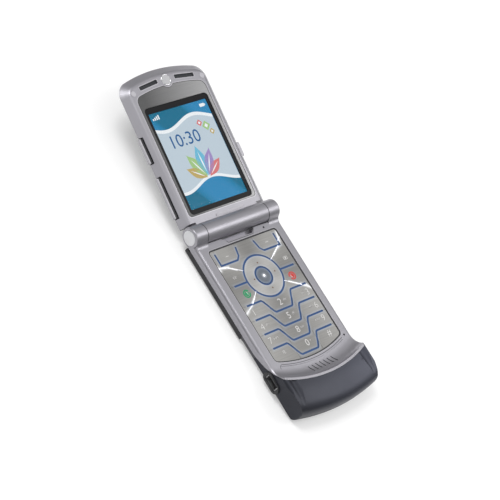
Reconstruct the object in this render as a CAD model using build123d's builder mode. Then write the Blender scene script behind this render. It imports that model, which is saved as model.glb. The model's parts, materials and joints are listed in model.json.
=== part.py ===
"""Clamshell mobile phone, opened flat on its back.

The base lies on its flat back, and the flip rises a little behind it.
Row frame: X across the phone, +Y from the chin towards the flip, +Z out of the keypad.
The origin is the middle of the flat back. All sizes are in millimetres.
"""
import os
from math import cos, radians, sin, sqrt

from build123d import *

# ---------------------------------------------------------------- driving dimensions
# Names that end in _back are measured from the end of the chin, in _in from a side, in _down from the
# top of the piece around, and in _before and _on from the end of the battery cover.
base_reach = 93.0          # hinge axis to the end of the chin
base_depth = 7.7           # hinge axis down to the flat back
half_width = 26.2          # half the width of the base
mouth_axis = 7.1           # ramp and lip turn about an upright axis this far from the hinge axis
mouth_reach = base_reach - mouth_axis
lip_back = 14.7            # the lip's inner edge lies this far before the end of the chin
lip_gap = 1.4              # between the lip and the tip of the closed flip
flip_reach = base_reach - lip_back - lip_gap
flip_proud = 0.1           # the flip's widest line stands this far beyond the base
flip_half = half_width + flip_proud
open_rise = 10.6           # how far the open flip stays above level, degrees
closed_gap = 0.3           # between the deck and the closed flip's inner face

fit_gap = 0.05             # between pieces that are seated in each other
seam_gap = 0.12            # visible seams between shells
running_gap = 0.05         # radial clearance of turning fits

# hinge
barrel_r = 4.7             # centre barrel, part of the flip
barrel_half_in = 7.2  # half length of the centre barrel
barrel_half = half_width - barrel_half_in
barrel_gap = 0.15          # end gap between barrel and knuckle
barrel_clear = 0.4         # radial gap between the barrel and the base
barrel_front = 2.9         # the deck ends this far before the hinge axis
knuckle_r = 4.7            # knuckles, part of the base
knuckle_fairing = 2.5      # concave blend from knuckle to deck
knuckle_edge = 0.7         # rounding of the knuckle ends
cap_r = 3.4                # light discs on the knuckle ends
cap_thick = 0.7
cap_proud = 0.1
pin_r = 1.9                # hinge pin on the left
pin_in = 8.0               # its inner end
pin_out_in = 1.8  # how far pin and cam nose reach into the knuckles
pin_out = half_width - pin_out_in
cartridge_r = 2.5          # spring and cam cartridge on the right
cartridge_in = 6.0
cam_nose_r = 1.7
flex_r = 2.45              # rolled flex cable in the barrel
flex_wall = 0.35
flex_half = 5.0

# base plan
end_y = 2.3                # square end of the base below the hinge
waist_start_back = 39.0
waist_start = base_reach - waist_start_back
waist_y_back = 28.5  # narrowest line of the base
waist_y = base_reach - waist_y_back
waist_half_in = 0.6
waist_half = half_width - waist_half_in
waist_end_back = 17.0  # full width again, then the chin narrows
waist_end = base_reach - waist_end_back
corner_half_in = 1.8
corner_half = half_width - corner_half_in
corner_y_back = 2.7
corner_y = base_reach - corner_y_back
corner_round = 1.8
side_round = 1.8           # rounding of the deck's side edges
back_round = 3.7           # rounding of the back's side edges

# mouth: ramp and lip about their upright axis
groove_r_back = 22.4  # fine groove at the foot of the ramp
groove_r = mouth_reach - groove_r_back
groove_w = 0.22
groove_deep = 0.3
groove_half_in = 6.5
groove_half = half_width - groove_half_in
ramp_low_r_back = 18.7
ramp_low_r = mouth_reach - ramp_low_r_back
ramp_low_z = 0.4
ramp_mid_r_back = 16.3
ramp_mid_r = mouth_reach - ramp_mid_r_back
ramp_mid_z = 2.0
lip_in_r = mouth_reach - lip_back
lip_out_r_off = 1.1
lip_out_r = lip_in_r + lip_out_r_off
lip_z = 4.6                # lip above the hinge axis
rib_count = 7              # finger slots in the ramp
rib_pitch = 2.45
rib_long = 3.4
rib_w = 0.5
rib_lean = 23.0
rib_y_back = 19.1
rib_y = base_reach - rib_y_back
rib_x = 1.4
rib_floor_z = -0.45

# shells of the base
split_z = -3.9             # seam between front and rear housing
deck_thick = 1.0
pocket_half_in = 2.2
pocket_half = half_width - pocket_half_in
pocket_start = 8.3
pocket_end_back = 22.0
pocket_end = base_reach - pocket_end_back
seam_low_r_back = 28.3  # the chin cover's seam climbs the sides on these radii
seam_low_r = mouth_reach - seam_low_r_back
# inwards from the end of the chin, height
seam_climb = ((25.7, -3.5), (23.3, -2.9), (19.8, -1.1), (16.7, 1.3), (14.5, 3.5))
core_half_in = 2.8  # solid strip below ramp and lip
core_half = half_width - core_half_in
core_under = ((25.9, -1.0), (19.4, -1.0), (16.9, -0.3), (15.4, 1.6), (14.7, 3.2))
chin_side_wall = 2.4
chin_wall = 1.3
chin_flat_y_back = 15.0  # the chin falls away from here
chin_flat_y = base_reach - chin_flat_y_back
chin_shoulder_y_back = 6.5
chin_shoulder_y = base_reach - chin_shoulder_y_back
chin_shoulder_z = 4.0
chin_nose_z = -1.5         # where the chin's end wall becomes upright
climb_start_back = 26.5  # the deck's side edge starts to climb here
climb_start = base_reach - climb_start_back
climb_end_back = 19.6  # and is level with the lip here
climb_end = base_reach - climb_end_back
flute_r = 4.5              # shallow flutes along both sides of the chin
flute_path = ((4.6, 22.0, 8.6), (4.0, 13.0, 8.4), (3.4, 5.0, 7.7), (3.0, -1.2, 4.6), (2.8, -4.0, -2.0))

# keypad
key_z = -0.3               # top of the keys
key_thick = 0.35
keypad_half_in = 5.1
keypad_half = half_width - keypad_half_in
keypad_top = 8.75
keypad_end_r_back = 24.4  # bottom edge about the mouth axis
keypad_end_r = mouth_reach - keypad_end_r_back
keypad_corner = 1.4
keypad_low_corner = 2.4
key_gap = 0.1              # between the key sheet and the deck
slot_w = 0.85              # lines of light between the keys
hairline = 0.1             # partings where the sheet has no line
ridge_w = 0.6              # light guide inside the lines
streak_w = 0.24            # bright diagonal partings
streak_over = 0.8          # they run this far past the edge of the sheet
nav_y = 27.4
nav_slot_r = 10.3
select_slot_r = 4.35
select_slot_w = 0.7
soft_top = 11.1
soft_low = 16.65
soft_outer_in = 2.65
soft_outer = keypad_half - soft_outer_in
soft_inner_top = 5.7
soft_inner_knee = 6.6
soft_inner_low = 8.3
soft_knee_y = 14.9
soft_round = 1.0
stub_left_in = 2.9
stub_left = keypad_half - stub_left_in
stub_right_in = 2.1
stub_right = keypad_half - stub_right_in
wave_first = 37.5          # flats of the first wave line
wave_drop = 7.15           # from the flats down to the trough
wave_count = 4
wave_last = 9.35           # from the last flats to the keypad's lower edge
wave_pitch = (mouth_axis + keypad_end_r - wave_first - wave_last) / (wave_count - 1)
wave_left_in = 3.1
wave_left = keypad_half - wave_left_in
wave_right_in = 1.9
wave_right = keypad_half - wave_right_in
wave_knee = 9.3
wave_foot = 5.2
wave_round = 1.1
dome_rise = 3.6            # from a row's dome to the next flats or trough
column_x = 7.25            # upright partings between the key columns
sheet_edge = keypad_half + streak_over
streaks = (
    ((-9.0, -22.0), (-16.3, -18.1), (-sheet_edge, -17.1)),
    ((8.8, -21.7), (17.2, -16.8)),
    ((soft_outer, -14.7), (sheet_edge, -12.4)),
    ((-9.0, -32.8), (-14.4, -37.5)),
    ((9.0, -32.8), (14.4, -35.9), (17.1, -37.6)),
)

# stack under the keys
pad_z = -1.05
pad_thick = 0.35
ridge_z = -0.48
stack_half_in = 5.9
stack_half = half_width - stack_half_in
stack_start = 9.6
stack_end_back = 26.5
stack_end = base_reach - stack_end_back
pad_end_back = 26.0
pad_end = base_reach - pad_end_back
nav_hole_r = 9.5
collar_w = 0.46
dome_r = 2.0
dome_z = -1.42
dome_sheet_z = -1.62
dome_sheet_thick = 0.15
board_z = -1.85
board_thick = 0.8
board_end_back = 23.5
board_end = base_reach - board_end_back
connector_size = (8.0, 2.5, 1.1)
actuator_z = -0.82
actuator_thick = 0.22
actuator_half = 8.4
actuator_rib = 0.9
actuator_in_r = 4.85
actuator_out_r = 5.8

# rear of the base
cover_end_back = 45.1  # the battery cover ends here
cover_end = base_reach - cover_end_back
connector_y_before = 0.6
connector_y = cover_end - connector_y_before
cover_wall = 0.9
cover_round = 1.7
cover_swing_r = 4.9        # scoop over knuckles and barrel
cover_slide = 2.0
rear_floor_z = -6.7
rear_half_in = 1.0
rear_half = half_width - rear_half_in
rear_start = 6.9
plateau_half_in = 6.0
plateau_half = half_width - plateau_half_in
plateau_start = 8.4
plateau_end_before = 2.4
plateau_end = cover_end - plateau_end_before
plateau_z = -2.75
bay_half_in = 1.2
bay_half = plateau_half - bay_half_in
bay_start = 9.6
bay_end_off = 1.5
bay_end = plateau_end - bay_end_off
bay_roof = 0.5
battery_gap = 0.12
rear_pocket_start_on = 1.4
rear_pocket_start = cover_end + rear_pocket_start_on
rear_pocket_half_in = 3.6
rear_pocket_half = half_width - rear_pocket_half_in
rear_pocket_r_back = 29.9
rear_pocket_r = mouth_reach - rear_pocket_r_back
screw_x_in = 3.9
screw_x = half_width - screw_x_in
screw_first = 12.0
screw_last_before = 2.5
screw_rows = (screw_first, cover_end - screw_last_before)
screw_r = 0.7
screw_head_r = 1.3
screw_head = 0.8
screw_seat_z = -5.0
screw_tip_z = -1.9
boss_r = 1.8
can_thick = 0.9
can_boxes = ((-18.5, -1.0, 2.1, 18.1), (1.0, 18.5, 2.1, 16.1))  # left, right, near and far from the cover's end
speaker_r = 5.5
speaker_thick = 2.2
speaker_x = 9.0
speaker_y_on = 7.9
speaker_y = cover_end + speaker_y_on
grille_slots = 5
grille_pitch = 1.9
grille_w = 0.7
motor_r = 1.3
motor_len = 7.5
motor_x = -11.0            # middle of the motor's can
motor_y_on = 9.1
motor_y = cover_end + motor_y_on
motor_z = -5.3
motor_shaft_r = 0.4
motor_shaft = 3.2
weight_r = 1.2
weight_len = 2.4
carrier_half_in = 7.2
carrier_half = half_width - carrier_half_in
carrier_side = ((26.0, -6.4), (6.2, -6.4), (3.8, -4.0), (3.8, -1.5), (7.0, 1.6), (12.0, 2.2), (17.5, -1.6),
                (26.0, -3.2))
mic_x_in = 4.0
mic_x = half_width - mic_x_in
mic_y_back = 27.1
mic_y = base_reach - mic_y_back
mic_r = 0.5
mic_can_r = 1.5
mic_can = 0.9
sensor_x = 15.2
sensor_y = 6.7
sensor_r = 0.5
notch_points = ((-11.2, -4.0), (-11.2, -4.8), (-7.5, -7.3), (7.4, -7.3), (9.4, -5.4), (9.4, -4.0))
notch_z = -2.6
stop_points = ((-9.9, -5.3), (-7.4, -7.2), (4.2, -7.2), (4.2, -5.3))
stop_z = -0.9
port_y_back = 21.2
port_y = base_reach - port_y_back
port_z = -3.2
port_long = 6.4
port_high = 2.6
port_shell = 0.3
port_deep = 6.0
port_recess = 0.45
tongue_size = (4.0, 4.6, 0.6)
surround_z = -3.5
surround_long = 10.4
surround_high = 5.0
surround_proud = 0.7
surround_in_in = 2.3  # flip
surround_in = half_width - surround_in_in
flip_inner_z = -closed_gap
flip_split_z = -3.5
flip_outer_z = -6.8
flip_top_r = 85.0
flip_corner = 7.0
flip_front_taper = 49.0
flip_back_taper = 46.0
flip_edge_round = 2.2
flip_root = 5.2
root_clear_r = 5.75        # scoop around the knuckles
outer_root = 1.6
outer_root_angle = 12.5    # underside of the web behind the barrel, degrees
flip_front_thick = 1.5
flip_back_thick = 1.0
hollow_half_in = 4.9
hollow_half = flip_half - hollow_half_in
hollow_low = 11.0
hollow_top_down = 5.5  # display
hollow_top = flip_reach - hollow_top_down
frame_half_in = 5.4
frame_half = flip_half - frame_half_in
frame_low = 8.3
frame_top_down = 8.8
frame_top = flip_reach - frame_top_down
frame_top_r = 90.0
frame_corner = 3.6
frame_low_corner = 1.8
frame_z = -0.42
frame_thick = 0.75
bezel_half_in = 1.65
bezel_half = frame_half - bezel_half_in
bezel_low = 9.1
bezel_top_down = 8.0
bezel_top = frame_top - bezel_top_down
bezel_corner = 2.0
bezel_z = -0.72
bezel_thick = 0.6
screen_half_in = 1.55
screen_half = bezel_half - screen_half_in
screen_low = 11.4
screen_top_down = 2.7
screen_top = bezel_top - screen_top_down
panel_z = -1.4
panel_thick = 1.4
panel_margin = 0.9

# flip fittings
slot_x = 10.9
slot_y_down = 6.85
slot_y = flip_reach - slot_y_down
slot_long = 11.4
slot_high = 1.9
slot_round = 0.4
slot_lean = 6.5
grille_z = -0.85
grille_thick = 0.3
badge_r = 2.75
badge_y_down = 6.6
badge_y = flip_reach - badge_y_down
badge_proud = 0.15
badge_thick = 1.1
badge_ring = 0.75
bumper_x_in = 5.3
bumper_x = flip_half - bumper_x_in
bumper_y_down = 9.0
bumper_y = flip_reach - bumper_y_down
bumper_r = 1.3
bumper_proud = 0.1
bumper_deep = 0.7
pad_left = 6.0
pad_right = 10.9
pad_low = 5.3
pad_high = 6.3
pad_proud = 0.2
earpiece_long = 15.0
earpiece_high = 4.6
earpiece_y_down = 8.9
earpiece_y = flip_reach - earpiece_y_down
earpiece_z = -1.85
earpiece_thick = 2.2
flip_board_z = -3.0
flip_board_thick = 0.6
flip_board_half_in = 6.8
flip_board_half = flip_half - flip_board_half_in
flip_board_low = 13.0
flip_board_top_off = 4.6
flip_board_top = screen_top + flip_board_top_off
lens_half = 15.5
lens_low = 30.0
lens_top_down = 22.9
lens_top = flip_reach - lens_top_down
lens_corner = 2.5
lens_thick = 0.7
lens_sunk = 0.05
sub_panel_thick = 1.9
camera_y = 19.5
camera_r = 3.0
camera_body = 7.4
camera_ring_r = 4.4
camera_ring_deep = 1.0
camera_glass = 0.5
sub_panel_margin = 0.9
earpiece_strip = (11.0, 2.0)

# side keys of the flip
side_key_top = -2.6
side_key_low = -4.2
side_key_out_out = 0.55
side_key_out = flip_half + side_key_out_out
side_key_in_in = 2.25
side_key_in = side_key_out - side_key_in_in
side_notch_in_in = 0.5
side_notch_in = side_key_in - side_notch_in_in
side_notch_top = -2.15
side_notch_low = -4.3
smart_low = 36.5
smart_high = 48.6
rocker_low = 10.2
rocker_high = 29.7
voice_low = 27.5
voice_high = 34.5
side_key_end = 0.3

# ---------------------------------------------------------------- planes and axes
hinge_y = base_reach / 2
hinge_z = base_depth
BASE = Plane(origin=(0, hinge_y, hinge_z))
FLIP = BASE.rotated((open_rise, 0, 0))
BASE_SIDE = Plane(origin=BASE.origin, x_dir=(0, 1, 0), z_dir=(1, 0, 0))
FLIP_SIDE = Plane(origin=FLIP.origin, x_dir=FLIP.y_dir, z_dir=FLIP.x_dir)
back_z = -base_depth
knuckle_in = barrel_half + barrel_gap
chin_drop = base_reach - corner_y
chin_r = (corner_half**2 + chin_drop**2) / (2 * chin_drop)
chin_axis = chin_r - base_reach
MOUTH = Axis(BASE.from_local_coords((0, -mouth_axis, 0)), (0, 0, 1))
CHIN = Axis(BASE.from_local_coords((0, chin_axis, 0)), (0, 0, 1))
key_low_z = key_z - key_thick


def crosswise(y):
    """Plane across the base at a distance from the hinge axis, upright and facing the chin."""
    return Plane(origin=BASE.from_local_coords((0, y, 0)), x_dir=(1, 0, 0), z_dir=(0, -1, 0))


def mouth_points(points, shift=0.0):
    """Radius and height pairs turned into side-view points on the mouth axis."""
    return [(-mouth_axis - radius - shift, height) for radius, height in points]


# ---------------------------------------------------------------- shared outlines
def base_plan(plane, inset=0.0):
    """Outline of the base seen from above, with its sides moved in by an inset."""
    wide = half_width - inset
    corner = corner_half - inset
    with BuildSketch(plane) as plan:
        with BuildLine():
            straight = Line((wide, -end_y), (wide, -waist_start))
            waist = Spline((wide, -waist_start), (waist_half - inset, -waist_y), (wide, -waist_end),
                           (corner, -corner_y), tangents=((0, -1), (-0.18, -1)))
            mirror(straight, about=Plane.YZ)
            mirror(waist, about=Plane.YZ)
            ThreePointArc((corner, -corner_y), (0, -base_reach), (-corner, -corner_y))
            Line((wide, -end_y), (-wide, -end_y))
        make_face()
        fillet(plan.vertices().sort_by(Axis.Y)[:2], radius=corner_round)
    return plan.sketch


def chin_profile(inset=0.0):
    """Half section of the base on the chin's own axis: level top, round nose, upright end."""
    end = -base_reach + inset
    top = lip_z - inset
    low = back_z + inset
    low_round = back_round - inset
    with BuildSketch(BASE_SIDE) as profile:
        with BuildLine():
            Polyline((end, chin_nose_z), (end, low + low_round))
            RadiusArc((end, low + low_round), (end + low_round, low), -low_round)
            Polyline((end + low_round, low), (chin_axis, low), (chin_axis, top), (-chin_flat_y, top))
            Spline((-chin_flat_y, top), (-chin_shoulder_y + inset / 2, chin_shoulder_z - inset),
                   (end, chin_nose_z), tangents=((-1, 0), (0, -1)))
        make_face()
    return profile.sketch


def dish_profile():
    """Half section of all that is cut away above deck, ramp and lip."""
    deck, low, mid, top = mouth_points(
        ((groove_r, 0), (ramp_low_r, ramp_low_z), (ramp_mid_r, ramp_mid_z), (lip_in_r, lip_z)))
    with BuildSketch(BASE_SIDE) as profile:
        with BuildLine():
            Polyline(deck, (-mouth_axis, 0), (-mouth_axis, 2 * lip_z), (top[0], 2 * lip_z), top)
            Spline(deck, low, mid, top, tangents=((-1, 0), (-0.35, 1)))
        make_face()
    return profile.sketch


def seam_profile(shift=0.0):
    """Half section of all that lies inside the chin cover's seam."""
    low_z = back_z - 1
    beyond = (lip_out_r + 0.4, lip_z + 0.5)
    rise = tuple((mouth_reach - inwards, height) for inwards, height in seam_climb)
    climb = mouth_points(((seam_low_r, split_z),) + rise + ((lip_out_r, lip_z), beyond), shift)
    with BuildSketch(BASE_SIDE) as profile:
        with BuildLine():
            Spline(*climb)
            Polyline(climb[-1], (climb[-1][0], 2 * lip_z), (-mouth_axis, 2 * lip_z), (-mouth_axis, low_z),
                     (climb[0][0], low_z), climb[0])
        make_face()
    return profile.sketch


def edge_tool(y, height):
    """Section of what is shaved off a side edge at a given height to round it."""
    with BuildSketch(crosswise(y)) as section:
        with Locations((half_width, height)):
            Rectangle(2 * side_round, 2 * side_round)
        with Locations((half_width - side_round, height - side_round)):
            Circle(side_round, mode=Mode.SUBTRACT)
    return section.sketch


def block(plane, x_low, x_high, y_low, y_high):
    """Rectangle given by its four limits."""
    with BuildSketch(plane) as sketch:
        with Locations(((x_low + x_high) / 2, (y_low + y_high) / 2)):
            Rectangle(x_high - x_low, y_high - y_low)
    return sketch.sketch


def disc(plane, x, y, radius, inner=0.0):
    """Disc or ring about a point of a plane."""
    with BuildSketch(plane) as sketch:
        with Locations((x, y)):
            Circle(radius)
            if inner:
                Circle(inner, mode=Mode.SUBTRACT)
    return sketch.sketch


# ---------------------------------------------------------------- outer form of the base
with BuildPart() as side_shaving:
    with BuildLine(BASE_SIDE.offset(half_width)) as side_edge:
        Line((0, 0), (-climb_start, 0))
        RadiusArc((-climb_start, 0), (-climb_end, lip_z), ((climb_end - climb_start)**2 + lip_z**2) / (2 * lip_z))
    sweep(edge_tool(0, 0), path=side_edge.line)
    extrude(edge_tool(1 - climb_end, lip_z), amount=base_reach / 2)
    mirror(about=Plane.YZ)

with BuildPart() as base_form:
    extrude(base_plan(BASE.offset(back_z)), amount=base_depth + lip_z)
    revolve(chin_profile(), axis=CHIN, mode=Mode.INTERSECT)
    revolve(dish_profile(), axis=MOUTH, mode=Mode.SUBTRACT)
    with BuildSketch(crosswise(0)) as back_section:
        with Locations((0, lip_z)):
            Rectangle(2 * half_width, lip_z + base_depth, align=(Align.CENTER, Align.MAX))
        fillet(back_section.vertices().sort_by(Axis.Y)[:2], radius=back_round)
    extrude(amount=base_reach + 1, mode=Mode.INTERSECT)
    add(side_shaving.part, mode=Mode.SUBTRACT)

# ---------------------------------------------------------------- keypad sheet
def keypad_plan(plane, margin=0.0):
    """Outline of the keypad sheet: straight sides and a curved lower edge."""
    half = keypad_half + margin
    end_r = keypad_end_r + margin
    low_y = -mouth_axis - sqrt(end_r**2 - half**2)
    top_y = -keypad_top + margin
    with BuildSketch(plane) as plan:
        with BuildLine():
            Polyline((-half, low_y), (-half, top_y), (half, top_y), (half, low_y))
            ThreePointArc((half, low_y), (0, -mouth_axis - end_r), (-half, low_y))
        make_face()
        fillet(plan.vertices().sort_by(Axis.Y)[-2:], radius=keypad_corner)
        fillet(plan.vertices().sort_by(Axis.Y)[:2], radius=keypad_low_corner)
    return plan.sketch


def soft_line(side):
    """Centre line of the light around one soft key."""
    return FilletPolyline(
        (side * soft_outer, -soft_top), (side * soft_outer, -soft_low), (side * soft_inner_low, -soft_low),
        (side * soft_inner_knee, -soft_knee_y), (side * soft_inner_top, -soft_top), radius=soft_round)


def wave_line(row):
    """Centre line of one wave of light, with a trough in the middle."""
    high = -wave_first - wave_pitch * row
    low = high - wave_drop
    return FilletPolyline(
        (-wave_left, high), (-wave_knee, high), (-wave_foot, low),
        (wave_foot, low), (wave_knee, high), (wave_right, high), radius=wave_round)


def line_sketch(plane, width):
    """All lines of light between the keys, at a given width."""
    with BuildSketch(plane) as lines:
        for side in (-1, 1):
            with BuildLine():
                soft_line(side)
            trace(line_width=width)
        for row in range(wave_count):
            with BuildLine():
                wave_line(row)
            trace(line_width=width)
        for start, end in ((-stub_left, -nav_slot_r), (nav_slot_r, stub_right)):
            with BuildLine():
                Line((start, -nav_y), (end, -nav_y))
            trace(line_width=width)
        with Locations((0, -nav_y)):
            Circle(nav_slot_r + width / 2)
            Circle(nav_slot_r - width / 2, mode=Mode.SUBTRACT)
    return lines.sketch


def parting_sketch(plane):
    """Hairlines and streaks that part the sheet where no line of light does."""
    edge = keypad_half + 1
    with BuildSketch(plane) as partings:
        for side in (-1, 1):
            for x in (soft_outer, soft_inner_top):
                with BuildLine():
                    Line((side * x, -soft_top - slot_w), (side * x, -keypad_top + 1))
                trace(line_width=hairline)
            with BuildLine():
                Line((side * column_x, -wave_first - wave_drop / 2), (side * column_x, -mouth_axis - keypad_end_r - 1))
            trace(line_width=hairline)
            with BuildLine():
                Line((side * (stub_left - 0.2), -nav_y), (side * edge, -nav_y))
            trace(line_width=hairline)
            for row in range(wave_count):
                high = -wave_first - wave_pitch * row
                with BuildLine():
                    Line((side * (wave_left - 0.2), high), (side * edge, high))
                trace(line_width=hairline)
        for points in streaks:
            with BuildLine():
                Polyline(*points)
            trace(line_width=streak_w)
    return partings.sketch


key_plane = BASE.offset(key_low_z)
with BuildSketch(key_plane) as key_sheet:
    add(key_plane.to_local_coords(keypad_plan(key_plane)))
    add(key_plane.to_local_coords(line_sketch(key_plane, slot_w)), mode=Mode.SUBTRACT)
    add(key_plane.to_local_coords(parting_sketch(key_plane)), mode=Mode.SUBTRACT)
    add(key_plane.to_local_coords(disc(key_plane, 0, -nav_y, select_slot_r + select_slot_w / 2,
                                       select_slot_r - select_slot_w / 2)), mode=Mode.SUBTRACT)


def tile_at(x, y):
    """The part of the key sheet that covers a point."""
    spot = key_plane.from_local_coords((x, y, 0))
    return next(face for face in key_sheet.sketch.faces() if face.is_inside(spot, 0.001))


side_row = -wave_first + dome_rise
middle_row = -wave_first - wave_drop + dome_rise
last_row = -wave_first - (wave_count - 1) * wave_pitch - dome_rise
key_spots = {
    "left_soft_key": (-12.0, -13.0),
    "right_soft_key": (12.0, -13.0),
    "clear_key": (-16.0, -23.0),
    "camera_key": (16.0, -23.0),
    "send_key": (-16.0, -31.0),
    "end_key": (16.0, -31.0),
    "key_1": (-14.5, side_row - wave_pitch),
    "key_2": (0.0, middle_row),
    "key_3": (14.5, side_row - wave_pitch),
    "key_4": (-14.5, side_row - 2 * wave_pitch),
    "key_5": (0.0, middle_row - wave_pitch),
    "key_6": (14.5, side_row - 2 * wave_pitch),
    "key_7": (-14.5, side_row - 3 * wave_pitch),
    "key_8": (0.0, middle_row - 2 * wave_pitch),
    "key_9": (14.5, side_row - 3 * wave_pitch),
    "star_key": (-14.0, last_row),
    "zero_key": (0.0, middle_row - 3 * wave_pitch),
    "hash_key": (14.0, last_row),
    "nav_ring": (0.0, -nav_y + nav_slot_r - 3),
    "select_key": (0.0, -nav_y),
}
fixed_spots = ((0.0, -14.0), ((keypad_half + soft_outer) / 2, -soft_top),
               (0.0, -mouth_axis - keypad_end_r + keypad_corner))

keys = {}
for key_name, (key_x, key_y) in key_spots.items():
    with BuildPart() as key:
        extrude(tile_at(key_x, key_y), amount=key_thick)
    keys[key_name] = key

with BuildPart() as keypad_plate:
    for fixed_x, fixed_y in fixed_spots:
        extrude(tile_at(fixed_x, fixed_y), amount=key_thick)

with BuildPart() as nav_actuator:
    hub = disc(BASE.offset(actuator_z), 0, -nav_y, actuator_out_r, actuator_in_r)
    extrude(hub, amount=-actuator_thick)
    for side in (-1, 1):
        near = (actuator_in_r + actuator_out_r) / 2
        low, high = sorted((side * near - nav_y, side * actuator_half - nav_y))
        extrude(block(BASE.offset(actuator_z), -actuator_rib, actuator_rib, low, high), amount=-actuator_thick)

with BuildPart() as key_light_pad:
    extrude(block(BASE.offset(pad_z), -stack_half, stack_half, -pad_end, -stack_start), amount=-pad_thick)
    with BuildSketch(BASE.offset(pad_z)) as ridges:
        add(ridges.workplanes[0].to_local_coords(line_sketch(BASE.offset(pad_z), ridge_w)))
        with Locations((0, -(stack_start + pad_end) / 2)):
            Rectangle(2 * stack_half, pad_end - stack_start, mode=Mode.INTERSECT)
    extrude(amount=ridge_z - pad_z)
    extrude(disc(BASE.offset(pad_z - pad_thick), 0, -nav_y, nav_hole_r), amount=pad_thick, mode=Mode.SUBTRACT)
    collar = disc(BASE.offset(dome_sheet_z + fit_gap), 0, -nav_y, select_slot_r + collar_w / 2,
                  select_slot_r - collar_w / 2)
    extrude(collar, amount=ridge_z - dome_sheet_z - fit_gap)

nav_dome = nav_slot_r - 3.3
dome_spots = [(0, -nav_y), (0, nav_dome - nav_y), (0, -nav_dome - nav_y), (nav_dome, -nav_y), (-nav_dome, -nav_y)]
dome_spots += [spot for name, spot in key_spots.items() if name not in ("nav_ring", "select_key")]

with BuildPart() as dome_sheet:
    extrude(block(BASE.offset(dome_sheet_z), -stack_half, stack_half, -stack_end, -stack_start),
            amount=-dome_sheet_thick)
    with BuildSketch(BASE.offset(dome_sheet_z)):
        with Locations(*dome_spots):
            Circle(dome_r)
    extrude(amount=dome_z - dome_sheet_z, taper=55)

# ---------------------------------------------------------------- base shells
with BuildPart() as knuckle_stock:
    with BuildSketch(BASE_SIDE.offset(knuckle_in)):
        Circle(knuckle_r)
    extrude(amount=half_width - knuckle_in)
    fillet(knuckle_stock.edges().sort_by(Axis.X)[-1], radius=knuckle_edge)
    fairing_y = -sqrt((knuckle_r + knuckle_fairing)**2 - knuckle_fairing**2)
    touch = knuckle_r / (knuckle_r + knuckle_fairing)
    with BuildSketch(BASE_SIDE.offset(knuckle_in)):
        with BuildLine():
            Polyline((fairing_y * touch, knuckle_fairing * touch), (0, 0), (0, -end_y), (fairing_y, -end_y),
                     (fairing_y, 0))
            RadiusArc((fairing_y, 0), (fairing_y * touch, knuckle_fairing * touch), -knuckle_fairing)
        make_face()
    extrude(amount=half_width - knuckle_in - knuckle_edge)

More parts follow.
